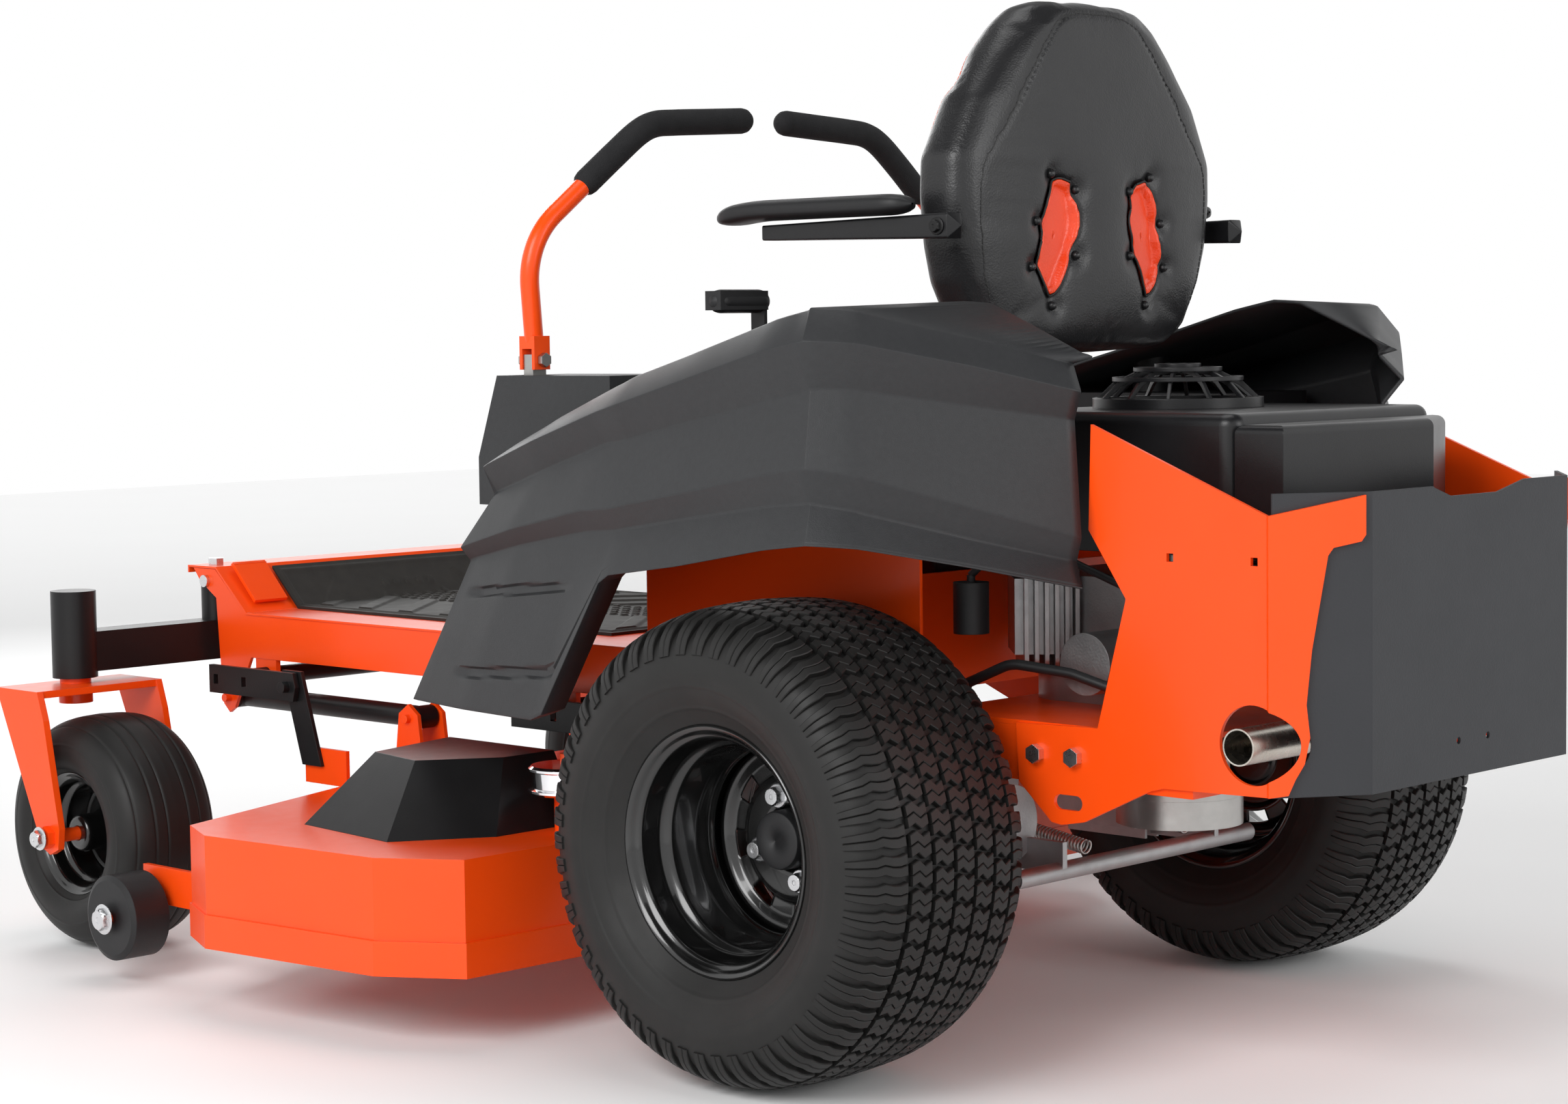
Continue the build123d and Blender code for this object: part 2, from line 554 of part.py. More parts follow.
with BuildPart() as seat_cushion:
    with BuildSketch(Plane.XY.offset(700)):
        with Locations((0, 195)):
            RectangleRounded(470, 480, 70)
    extrude(amount=120)
    fillet(seat_cushion.faces().sort_by(Axis.Z)[-1].edges(), 34)
    # hollow between the side bolsters
    with BuildSketch(Plane.XZ.offset(-480)):
        with Locations((0, 1090)):
            Circle(300)
    extrude(amount=430, mode=Mode.SUBTRACT)
save(seat_cushion, "seat_cushion")

back_half = [(0, 1249), (70, 1247), (136, 1236), (190, 1200), (228, 1124), (250, 1055), (238, 990),
             (230, 940), (221, 900), (205, 870), (160, 824)]
with BuildPart() as seat_back:
    with BuildSketch(Plane.XZ.offset(110)):
        with BuildLine():
            Polyline(*[(-x, z) for x, z in reversed(back_half)], *back_half[1:], close=True)
        make_face()
    extrude(amount=-118)
    fillet(seat_back.faces().sort_by(Axis.Y)[0].edges(), 22)
    # bucket between the wings
    with BuildSketch(Plane.XY.offset(820)):
        with Locations((0, 236)):
            Circle(285)
    extrude(amount=440, mode=Mode.SUBTRACT)
    add(rod((-276, ARMREST_Y, ARMREST_Z), (-200, ARMREST_Y, ARMREST_Z), 9))
    add(rod((200, ARMREST_Y, ARMREST_Z), (276, ARMREST_Y, ARMREST_Z), 9))
save(seat_back, "seat_back")

with BuildPart() as armrest_left:
    add(block((-288, ARMREST_Y - 26, ARMREST_Z - 15), (-257, 205, ARMREST_Z + 13)))
    with BuildSketch(Plane.XY.offset(ARMREST_Z + 13)):
        with Locations((-287, 115)):
            RectangleRounded(58, 286, 26)
    extrude(amount=27)
    with Locations((-270, ARMREST_Y, ARMREST_Z)):
        Cylinder(9 + FIT, 40, rotation=(0, 90, 0), mode=Mode.SUBTRACT)
save(armrest_left, "armrest_left")
save(mirrored(armrest_left), "armrest_right")

# ---- fuel tank, cap, battery ------------------------------------------------------------------
with BuildPart() as fuel_tank:
    with BuildSketch(Plane.XY.offset(640)):
        with Locations((430, 110)):
            RectangleRounded(180, 330, 30)
    extrude(amount=125)
    with Locations((430, 150, 798)):
        Cylinder(26, 68)
save(fuel_tank, "fuel_tank")

with BuildPart() as fuel_cap:
    with Locations((430, 150, 844.3)):
        Cylinder(36, 24)
save(fuel_cap, "fuel_cap")

with BuildPart() as battery:
    with Locations((0, 150, 560)):
        Box(196, 128, 180)
    fillet(battery.edges().filter_by(Axis.Z), 6)
    for x in (-70, 70):
        add(rod((x, 115, 650), (x, 115, 662), 9))
    add(block((-110, 76, 455.5), (110, 224, 470)))
save(battery, "battery")

# ---- engine -----------------------------------------------------------------------------------
BLOCK_LOW = ENGINE_PLATE_Z + 6
CYLINDER_Z = 515.0            # middle of the two cylinders
FINS = 6
with BuildPart() as engine_block:
    with BuildSketch(Plane.XY.offset(BLOCK_LOW)):
        with Locations((0, CRANK_Y + 15)):
            RectangleRounded(250, 250, 50)
    extrude(amount=150)
    # two cylinders in a V, each with cooling fins
    for lean in (-45, 45):
        along = (sin(radians(lean)), cos(radians(lean)), 0)
        with BuildSketch(Plane(origin=(0, CRANK_Y, CYLINDER_Z), x_dir=(0, 0, 1), z_dir=along)):
            Rectangle(90, 90)
        extrude(amount=200)
        for step in range(FINS):
            reach = 125 + 12 * step
            root = (reach * along[0], CRANK_Y + reach * along[1], CYLINDER_Z)
            with BuildSketch(Plane(origin=root, x_dir=(0, 0, 1), z_dir=along)):
                RectangleRounded(124, 124, 14)
            extrude(amount=5)
    # oil filter on the left, starter on the right
    add(rod((-124, CRANK_Y - 20, 470), (-205, CRANK_Y - 20, 470), 36))
    add(rod((128, CRANK_Y - 70, 430), (128, CRANK_Y - 70, 560), 38))
    with Locations((0, CRANK_Y, BLOCK_LOW + 40)):
        Cylinder(17 + FIT, 500, mode=Mode.SUBTRACT)
save(engine_block, "engine_block")

SHROUD_LOW = 600.0
shroud_plan = [(-200, -440), (-200, -140), (-150, -84), (150, -84), (200, -140), (200, -440)]
with BuildPart() as engine_shroud:
    with BuildSketch(Plane.XY.offset(SHROUD_LOW)):
        with BuildLine():
            Polyline(*shroud_plan, close=True)
        make_face()
    extrude(amount=SHROUD_TOP - SHROUD_LOW)
    fillet(engine_shroud.edges().filter_by(Axis.Z), 20)
    fillet(engine_shroud.faces().sort_by(Axis.Z)[-1].edges(), 14)
    with BuildSketch(Plane.XY.offset(SHROUD_LOW)):
        with Locations((0, -262)):
            RectangleRounded(380, 340, 60)
    extrude(amount=SHROUD_TOP - SHROUD_LOW - 5, mode=Mode.SUBTRACT)
    with Locations((0, CRANK_Y, SHROUD_TOP)):
        Cylinder(92, 40, mode=Mode.SUBTRACT)
save(engine_shroud, "engine_shroud")

air_plan = [(-200, -441), (-200, -505), (80, -516), (178, -470), (200, -441)]
with BuildPart() as air_cleaner_cover:
    with BuildSketch(Plane.XY.offset(SHROUD_LOW)):
        with BuildLine():
            Polyline(*air_plan, close=True)
        make_face()
    extrude(amount=146)
    fillet(air_cleaner_cover.faces().sort_by(Axis.Z)[-1].edges(), 10)
save(air_cleaner_cover, "air_cleaner_cover")

# domed finger guard: base ring, radial ribs and round hoops
GUARD_R = 100.0
GUARD_TALL = 50.0
with BuildPart() as fan_guard:
    guard_section = Plane(origin=(0, CRANK_Y, SHROUD_TOP), x_dir=(1, 0, 0), z_dir=(0, -1, 0))
    with BuildSketch(guard_section) as hoops:
        with Locations((GUARD_R - 5, 6)):
            Rectangle(12, 12)
        for share in (0.25, 0.5, 0.75):
            with Locations((GUARD_R * share, 12 + (GUARD_TALL - 12) * (1 - share ** 3))):
                Rectangle(5, 5)
    revolve(hoops.sketch, axis=Axis((0, CRANK_Y, 0), (0, 0, 1)))
    for turn in range(12):
        outward = (cos(radians(30 * turn)), sin(radians(30 * turn)), 0)
        with BuildSketch(Plane(origin=(0, CRANK_Y, SHROUD_TOP), x_dir=outward,
                               z_dir=(outward[1], -outward[0], 0))):
            with BuildLine():
                Polyline((8, 47), (50, 43), (76, 31), (97, 11), (90, 11), (72, 26), (48, 38), (8, 42),
                         close=True)
            make_face()
        extrude(amount=2, both=True)
    with Locations((0, CRANK_Y, SHROUD_TOP + 44)):
        Cylinder(12, 8)
save(fan_guard, "fan_guard")

# crankshaft with the cooling fan at its top, the blade clutch and pump pulley at its foot
with BuildPart() as crankshaft:
    add(rod((0, CRANK_Y, 262), (0, CRANK_Y, 755), 17))
    add(rod((0, CRANK_Y, 262), (0, CRANK_Y, 300), CLUTCH_R))
    add(rod((0, CRANK_Y, 318), (0, CRANK_Y, 340), 60))
    with Locations((0, CRANK_Y, 300)):
        Cylinder(CLUTCH_R + 1, 8)
    add(rod((0, CRANK_Y, 730), (0, CRANK_Y, 735), 88))
    for turn in range(12):
        angle = radians(30 * turn)
        with Locations(Location((66 * cos(angle), CRANK_Y + 66 * sin(angle), 744), (0, 0, 30 * turn + 35))):
            Box(36, 3, 20)
save(crankshaft, "crankshaft")

# muffler behind the engine with its tail pipe turned out to the left
with BuildPart() as muffler:
    with BuildSketch(Plane.YZ.offset(-170)):
        with Locations((-488, 500)):
            RectangleRounded(70, 110, 30)
    extrude(amount=340)
    add(bent_tube([(-316, -528, 411), (-190, -528, 411), (-110, -500, 450)], [60], 20, 18.2))
save(muffler, "muffler")

# ---- drive: two hydrostatic transaxles, tie tube, return springs ------------------------------
with BuildPart() as transaxles:
    for side in (-1, 1):
        add(block((side * 180 - 66, -60, 222), (side * 180 + 66, 75, 330)))
        add(rod((side * 180, -105, 270), (side * 180, -60, 270), 46))
        add(rod((side * 236, 0, REAR_RADIUS), (side * 252, 0, REAR_RADIUS), 44))
        add(rod((side * 252, 0, REAR_RADIUS), (side * 268, 0, REAR_RADIUS), 32))
        add(block((side * 180 - 40, -40, 330), (side * 180 + 40, 50, 338)))
        for step in range(5):
            x = side * 180 - 48 + 24 * step
            add(block((x - 2, -64, 208), (x + 2, 60, 222)))
        with Locations((side * 250, 0, REAR_RADIUS)):
            Cylinder(16 + FIT, 60, rotation=(0, 90, 0), mode=Mode.SUBTRACT)
    add(rod((-230, -150, 214), (230, -150, 214), 11))
    for side in (-1, 1):
        add(block((side * 150 - 4, -160, 212), (side * 150 + 4, -60, 250)))
save(transaxles, "transaxles")

with BuildPart() as return_springs:
    for side in (-1, 1):
        with BuildLine() as coil:
            Helix(pitch=5, height=95, radius=8, center=(side * 98, -152, 236), direction=(0, 1, 0.15))
        with BuildSketch(Plane(origin=coil.line @ 0, z_dir=coil.line % 0)):
            Circle(1.4)
        sweep()
save(return_springs, "return_springs")

# ---- fuel line, filter and wiring on the engine's left side -----------------------------------
fuel_route = [(-236, -92, 568), (-232, -130, 600), (-206, -215, 588), (-206, -300, 560),
              (-180, -360, 540)]
loom_route = [(-250, -90, 440), (-246, -160, 470), (-230, -235, 462), (-215, -310, 440),
              (-190, -370, 452)]
with BuildPart() as fuel_and_wiring:
    add(rod((-236, -92, 500), (-236, -92, 560), 21))
    add(rod((-236, -92, 560), (-236, -92, 568), 5))
    for points, radius in ((fuel_route, 4.5), (loom_route, 6.0)):
        add(bent_tube(points, [50, 60, 60], radius))
save(fuel_and_wiring, "fuel_and_wiring")

# ---- fasteners of the chassis -----------------------------------------------------------------
with BuildPart() as chassis_bolts:
    for side in (-1, 1):
        face = side * (RAIL_OUT + SHEET)
        for y, z in ((-238, 378), (-292, 378)):
            with BuildSketch(Plane(origin=(face, y, z), z_dir=(side, 0, 0))):
                RegularPolygon(11, 6)
            extrude(amount=9)
        with BuildSketch(Plane(origin=(side * RAIL_OUT, 1343, 497), z_dir=(side, 0, 0))):
            Circle(9)
        extrude(amount=6)
        with BuildSketch(Plane.XY.offset(LIP_Z)):
            with Locations((side * 266, 1352)):
                RegularPolygon(12, 6)
        extrude(amount=10)
save(chassis_bolts, "chassis_bolts")

# ---- mower deck -------------------------------------------------------------------------------
deck_half = [(-250, 1000), (-427, 936), (-678, 847), (-DECK_EDGE_X, 764), (-683, 469), (-622, 372),
             (-300, 366)]
deck_plan = deck_half + [(-x, y) for x, y in reversed(deck_half)]
CHUTE_Y = (490.0, 800.0)
IDLER = (-402.0, 430.0)       # axis of the belt idler
HINGE_X = 728.0               # hinge pin of the discharge chute


def spindle_places():
    """Axis of each blade spindle: name, X, Y."""
    return (("left", -SPINDLE_X, SIDE_SPINDLE_Y), ("centre", 0, MID_SPINDLE_Y),
            ("right", SPINDLE_X, SIDE_SPINDLE_Y))


with BuildPart() as deck_shell:
    with BuildSketch(Plane.XY.offset(DECK_BOTTOM)):
        with BuildLine():
            Polyline(*deck_plan, close=True)
        make_face()
    extrude(amount=DECK_TOP - DECK_BOTTOM)
    with BuildSketch(Plane.XY.offset(DECK_BOTTOM)):
        with BuildLine():
            Polyline(*deck_plan, close=True)
        make_face()
        offset(amount=-DECK_WALL)
    extrude(amount=DECK_TOP - DECK_BOTTOM - DECK_WALL, mode=Mode.SUBTRACT)
    # wear band welded round the lower edge
    with BuildSketch(Plane.XY.offset(DECK_BOTTOM)):
        with BuildLine():
            Polyline(*deck_plan, close=True)
        make_face()
        offset(amount=3, kind=Kind.INTERSECTION)
        with BuildLine():
            Polyline(*deck_plan, close=True)
        make_face(mode=Mode.SUBTRACT)
    extrude(amount=43)
    add(block((640, CHUTE_Y[0], DECK_BOTTOM - 1), (740, CHUTE_Y[1], DECK_TOP - 18)), mode=Mode.SUBTRACT)
    for _, x, y in spindle_places():
        add(rod((x, y, DECK_TOP), (x, y, DECK_TOP + 30), 50))
        with Locations((x, y, DECK_TOP)):
            Cylinder(16 + FIT, 120, mode=Mode.SUBTRACT)
    # brackets: lift links front and rear, trailing tube lugs, anti-scalp wheel arms
    for side in (-1, 1):
        add(block((side * (FRONT_LINK_X - 14) - 3, FRONT_ROCKER_Y - ROCKER_ARM - 112, DECK_TOP),
                  (side * (FRONT_LINK_X - 14) + 3, FRONT_ROCKER_Y - ROCKER_ARM - 20, DECK_TOP + 50)))
        add(block((side * (REAR_LINK_X - 14) - 3, REAR_ROCKER_Y - ROCKER_ARM - 40, DECK_TOP),
                  (side * (REAR_LINK_X - 14) + 3, REAR_ROCKER_Y - ROCKER_ARM + 40, DECK_TOP + 50)))
        for x in (TRAIL_X - 22, TRAIL_X + 22):
            lug = [(TRAIL_Y - TRAIL_LONG + 34, DECK_TOP), (TRAIL_Y - TRAIL_LONG + 20, TRAIL_Z + 6),
                   (TRAIL_Y - TRAIL_LONG, TRAIL_Z + 20), (TRAIL_Y - TRAIL_LONG - 20, TRAIL_Z + 6),
                   (TRAIL_Y - TRAIL_LONG - 34, DECK_TOP)]
            add(plate_yz(lug, side * x - 3, 6))
        add(rod((side * (TRAIL_X - 32), TRAIL_Y - TRAIL_LONG, TRAIL_Z),
                (side * (TRAIL_X + 32), TRAIL_Y - TRAIL_LONG, TRAIL_Z), 6))
        add(block((side * 602 - 4, 870, 100), (side * 602 + 4, 1060, 150)))
        add(rod((side * 598, 1040, 88), (side * 684, 1040, 88), 8))
        add(block((side * 602 - 4, 1020, 76), (side * 602 + 4, 1060, 104)))
    # pin of the idler pulley
    add(rod((*IDLER, DECK_TOP), (*IDLER, 332), 10))
    add(rod((*IDLER, DECK_TOP), (*IDLER, 280), 18))
    # hinge pin lugs of the chute
    for y in (CHUTE_Y[0] + 6, CHUTE_Y[1] - 12):
        add(block((700, y, DECK_TOP - 18), (HINGE_X + 8, y + 6, DECK_TOP + 8)))
    add(rod((HINGE_X, CHUTE_Y[0] + 6, DECK_TOP - 2), (HINGE_X, CHUTE_Y[1] - 6, DECK_TOP - 2), 4))
save(deck_shell, "deck_shell")

# links between deck and lift shafts; their upper holes are slots, as on the real deck
with BuildPart() as hanger_links:
    for arm_x, arm_y in ((FRONT_LINK_X, FRONT_ROCKER_Y - ROCKER_ARM),
                         (REAR_LINK_X, REAR_ROCKER_Y - ROCKER_ARM)):
        for side in (-1, 1):
            foot = arm_y if arm_x == REAR_LINK_X else arm_y - 42
            x = side * (arm_x - 8)
            outline = [(foot - 21, 258), (foot + 21, 258), (arm_y + 21, ROCKER_Z + 22),
                       (arm_y - 21, ROCKER_Z + 22)]
            add(plate_yz(outline, x - 3, 6))
            with Locations((x, arm_y, ROCKER_Z)):
                Box(20, 26, 17, mode=Mode.SUBTRACT)
save(hanger_links, "hanger_links")


def lift_rocker(shaft_y, arm_x):
    """Lift shaft under the rails: a cross tube with an arm and a link pin at each end."""
    with BuildPart() as rocker:
        add(rod((-arm_x + 4, shaft_y, ROCKER_Z), (arm_x - 4, shaft_y, ROCKER_Z), 12.7))
        for side in (-1, 1):
            x = side * arm_x
            arm = [(shaft_y + 40, ROCKER_Z - 20), (shaft_y + 40, ROCKER_Z + 20),
                   (shaft_y - ROCKER_ARM - 14, ROCKER_Z + 20), (shaft_y - ROCKER_ARM - 20, ROCKER_Z),
                   (shaft_y - ROCKER_ARM - 14, ROCKER_Z - 20)]
            add(plate_yz(arm, x - 4, 8))
            add(rod((x - side * 16, shaft_y - ROCKER_ARM, ROCKER_Z),
                    (x + side * 14, shaft_y - ROCKER_ARM, ROCKER_Z), 8))
            for y in (shaft_y + 24, shaft_y - 42):
                with Locations((x, y, ROCKER_Z)):
                    Box(12, 11, 14, mode=Mode.SUBTRACT)
    return rocker


with BuildPart() as lift_rocker_front:
    add(lift_rocker(FRONT_ROCKER_Y, FRONT_LINK_X).part)
    # foot pedal on the driver's right
    pedal_arm = [(FRONT_ROCKER_Y - 16, ROCKER_Z), (FRONT_ROCKER_Y + 16, ROCKER_Z), (1232, 600), (1212, 600)]
    add(plate_yz(pedal_arm, 304, 8))
    add(block((304, 1205, 596), (372, 1265, 604)))
save(lift_rocker_front, "lift_rocker_front")
save(lift_rocker(REAR_ROCKER_Y, REAR_LINK_X), "lift_rocker_rear")

with BuildPart() as trailing_links:
    for side in (-1, 1):
        add(rod((side * TRAIL_X, TRAIL_Y - 12, TRAIL_Z),
                (side * TRAIL_X, TRAIL_Y - TRAIL_LONG + 12, TRAIL_Z), 15))
        for y in (TRAIL_Y, TRAIL_Y - TRAIL_LONG):
            add(rod((side * TRAIL_X - 16, y, TRAIL_Z), (side * TRAIL_X + 16, y, TRAIL_Z), 16))
        for y, bore in ((TRAIL_Y, 6 + FIT), (TRAIL_Y - TRAIL_LONG, 8.0)):
            with Locations((side * TRAIL_X, y, TRAIL_Z)):
                Cylinder(bore, 60, rotation=(0, 90, 0), mode=Mode.SUBTRACT)
save(trailing_links, "trailing_links")

# folded sheet covers over the belt and side pulleys, open towards the middle
cover_foot = [(-600, 545), (-580, 737), (-330, 800), (-330, 470), (-487, 470)]
cover_head = [(-520, 585), (-500, 690), (-330, 730), (-330, 520), (-430, 520)]
with BuildPart() as belt_cover_left:
    for wall, mode in ((0, Mode.ADD), (3.0, Mode.SUBTRACT)):
        with BuildSketch(Plane.XY.offset(DECK_TOP)):
            with BuildLine():
                Polyline(*cover_foot, close=True)
            make_face()
            offset(amount=-wall - 0.001)
        with BuildSketch(Plane.XY.offset(322 - wall)):
            with BuildLine():
                Polyline(*cover_head, close=True)
            make_face()
            offset(amount=-wall - 0.001)
        loft(mode=mode)
    add(block((-345, 480, DECK_TOP), (-320, 790, 400)), mode=Mode.SUBTRACT)
with BuildPart() as belt_covers:
    add(belt_cover_left.part)
    mirror(belt_cover_left.part, about=Plane.YZ)
save(belt_covers, "belt_covers")

# spindle: shaft, pulley above the deck and blade below it
BLADE_Z = 104.0
for name, x, y in spindle_places():
    with BuildPart() as spindle:
        add(rod((x, y, BLADE_Z - 14), (x, y, 296), 16))
        with BuildSketch(Plane(origin=(x, y, 282), x_dir=(1, 0, 0), z_dir=(0, -1, 0))) as groove:
            with BuildLine():
                Polyline((15, -12), (62, -12), (50, 0), (62, 12), (15, 12), close=True)
            make_face()
        revolve(groove.sketch, axis=Axis((x, y, 0), (0, 0, 1)))
        with Locations((x, y, BLADE_Z)):
            Box(BLADE_LONG, 62, 6)
        # upturned wings at the trailing edge of each blade tip
        for end in (-1, 1):
            add(block((x + end * 190 - 43, y - end * 31 - 2, BLADE_Z - 3),
                      (x + end * 190 + 43, y - end * 31 + 2, BLADE_Z + 22)))
        add(rod((x, y, BLADE_Z - 12), (x, y, BLADE_Z - 3), 30))
    save(spindle, f"spindle_{name}")

# flat idler of the blade belt
with BuildPart() as idler_pulley:
    with BuildSketch(Plane(origin=(IDLER[0], IDLER[1], 300), x_dir=(1, 0, 0), z_dir=(0, -1, 0))):
        with BuildLine():
            Polyline((10 + FIT, -18), (46, -18), (50, -15), (50, -12), (44, -10), (44, 10), (50, 12),
                     (50, 15), (46, 18), (10 + FIT, 18), close=True)
        make_face()
    revolve(axis=Axis((IDLER[0], IDLER[1], 0), (0, 0, 1)))
save(idler_pulley, "idler_pulley")

# rubber discharge chute on its hinge pin
with BuildPart() as discharge_chute:
    with BuildSketch(Plane.XZ.offset(-CHUTE_Y[1] + 16)):
        with BuildLine():
            Polyline((736, 236), (748, 238), (CHUTE_EDGE_X, 150), (CHUTE_EDGE_X, 112), (978, 112),
                     (974, 140), (748, 226), (736, 226), close=True)
        make_face()
    extrude(amount=CHUTE_Y[1] - CHUTE_Y[0] - 32)
    for y in (CHUTE_Y[0] + 16, CHUTE_Y[1] - 22):
        with BuildSketch(Plane.XZ.offset(-y - 6)):
            with BuildLine():
                Polyline((752, 130), (752, 224), (976, 142), (976, 118), close=True)
            make_face()
        extrude(amount=6)
    for y in (CHUTE_Y[0] + 40, CHUTE_Y[1] - 80):
        add(rod((HINGE_X, y, DECK_TOP - 2), (HINGE_X, y + 40, DECK_TOP - 2), 10))
    with Locations((HINGE_X, (CHUTE_Y[0] + CHUTE_Y[1]) / 2, DECK_TOP - 2)):
        Cylinder(4 + FIT, 400, rotation=(90, 0, 0), mode=Mode.SUBTRACT)
save(discharge_chute, "discharge_chute")

with BuildPart() as scalp_wheel_left:
    with BuildSketch(across((-645, 1040, 88))):
        with BuildLine():
            Polyline((-30, 8 + FIT), (-30, 50), (-26, 57), (26, 57), (30, 50), (30, 8 + FIT), close=True)
        make_face()
    revolve(axis=Axis((-645, 1040, 88), (1, 0, 0)))
save(scalp_wheel_left, "scalp_wheel_left")
save(mirrored(scalp_wheel_left), "scalp_wheel_right")
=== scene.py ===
import bmesh
import bpy
import numpy as np
from mathutils import Matrix, Vector


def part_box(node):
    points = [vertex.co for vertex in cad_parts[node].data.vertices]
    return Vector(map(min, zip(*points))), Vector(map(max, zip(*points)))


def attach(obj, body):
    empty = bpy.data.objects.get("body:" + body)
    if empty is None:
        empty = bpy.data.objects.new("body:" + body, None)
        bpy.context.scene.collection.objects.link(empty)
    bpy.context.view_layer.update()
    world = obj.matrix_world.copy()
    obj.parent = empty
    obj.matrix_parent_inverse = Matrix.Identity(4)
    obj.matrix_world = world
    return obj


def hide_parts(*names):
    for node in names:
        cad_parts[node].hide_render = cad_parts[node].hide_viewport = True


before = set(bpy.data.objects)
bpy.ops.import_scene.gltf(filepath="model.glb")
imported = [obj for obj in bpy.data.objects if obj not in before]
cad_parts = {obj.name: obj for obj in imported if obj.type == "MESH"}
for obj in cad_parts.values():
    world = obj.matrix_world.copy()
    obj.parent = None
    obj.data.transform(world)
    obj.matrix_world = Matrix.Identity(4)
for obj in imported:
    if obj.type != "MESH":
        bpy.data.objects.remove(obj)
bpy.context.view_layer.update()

# ---- studio -----------------------------------------------------------------------------------
# The machine stands on a white floor in a white room, under large soft lamps. A black cloth
# stretched overhead keeps the tops of the covers dark.
# Places are measured from the ground under the middle of the rear axle, in metres.
left_low, left_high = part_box("tyre_rear_left")
right_low, right_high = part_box("tyre_rear_right")
ORIGIN = np.array([(left_low.x + right_high.x) / 2, (left_low.y + left_high.y) / 2, 0.0])
EYE = np.array([-2.980, -2.443, 0.859])
YAW, PITCH, ROLL = np.radians([44.038, 4.142, -0.756])
LENS = 71.33


def aimed(yaw, pitch, roll):
    """Turn of a lens that looks along yaw from +X, down by pitch, and is rolled about its own axis."""
    ahead = np.array([np.cos(yaw) * np.cos(pitch), np.sin(yaw) * np.cos(pitch), -np.sin(pitch)])
    side = np.cross(ahead, (0, 0, 1))
    side /= np.linalg.norm(side)
    up = np.cross(side, ahead)
    right = side * np.cos(roll) + up * np.sin(roll)
    top = up * np.cos(roll) - side * np.sin(roll)
    return np.stack([right, top, -ahead], 1)


def placed(data, name, turn, place):
    """A lamp or camera at a place of the studio."""
    thing = bpy.data.objects.new(name, data)
    thing.matrix_world = Matrix.Translation(ORIGIN + place) @ Matrix(turn.tolist()).to_4x4()
    bpy.context.scene.collection.objects.link(thing)
    return thing


lens = bpy.data.cameras.new("camera")
lens.lens = LENS
lens.clip_end = 60
bpy.context.scene.camera = placed(lens, "camera", aimed(YAW, PITCH, ROLL), EYE)

LAMPS = {
    "key_lamp": ((-3.8, -0.6, 2.6), 2.2, 105, (0.2, 0.2, 0.4)),
    "rear_lamp": ((0.6, -4.4, 2.0), 2.0, 45, (0.0, 0.0, 0.5)),
    "top_lamp": ((0.2, 0.6, 4.2), 2.4, 40, (0.0, 0.4, 0.3)),
    "front_lamp": ((1.8, 4.4, 2.6), 2.2, 50, (0.0, 0.4, 0.5)),
}
for lamp_name, (place, wide, power, target) in LAMPS.items():
    lamp = bpy.data.lights.new(lamp_name, "AREA")
    lamp.size, lamp.energy = wide, power
    ray = np.array(target) - np.array(place)
    reach = np.hypot(ray[0], ray[1])
    placed(lamp, lamp_name, aimed(np.arctan2(ray[1], ray[0]), np.arctan2(-ray[2], reach), 0.0),
           np.array(place))

world = bpy.data.worlds.new("studio")
world.use_nodes = True
world.node_tree.nodes["Background"].inputs["Color"].default_value = (1.0, 1.0, 1.0, 1)
world.node_tree.nodes["Background"].inputs["Strength"].default_value = 1.0
bpy.context.scene.world = world
bpy.context.scene.view_settings.view_transform = "Standard"


class Level:
    """One value inside a finish: arithmetic on it adds the Math nodes that work it out."""

    def __init__(self, finish, socket):
        self.finish, self.socket = finish, socket

    def math(self, operation, *values):
        return self.finish.node("ShaderNodeMath", {"operation": operation}, dict(enumerate(values)))

    def __add__(self, other):
        return self.math("ADD", self, other)

    def __radd__(self, other):
        return self.math("ADD", other, self)

    def __sub__(self, other):
        return self.math("SUBTRACT", self, other)

    def __rsub__(self, other):
        return self.math("SUBTRACT", other, self)

    def __mul__(self, other):
        return self.math("MULTIPLY", self, other)

    def __rmul__(self, other):
        return self.math("MULTIPLY", other, self)


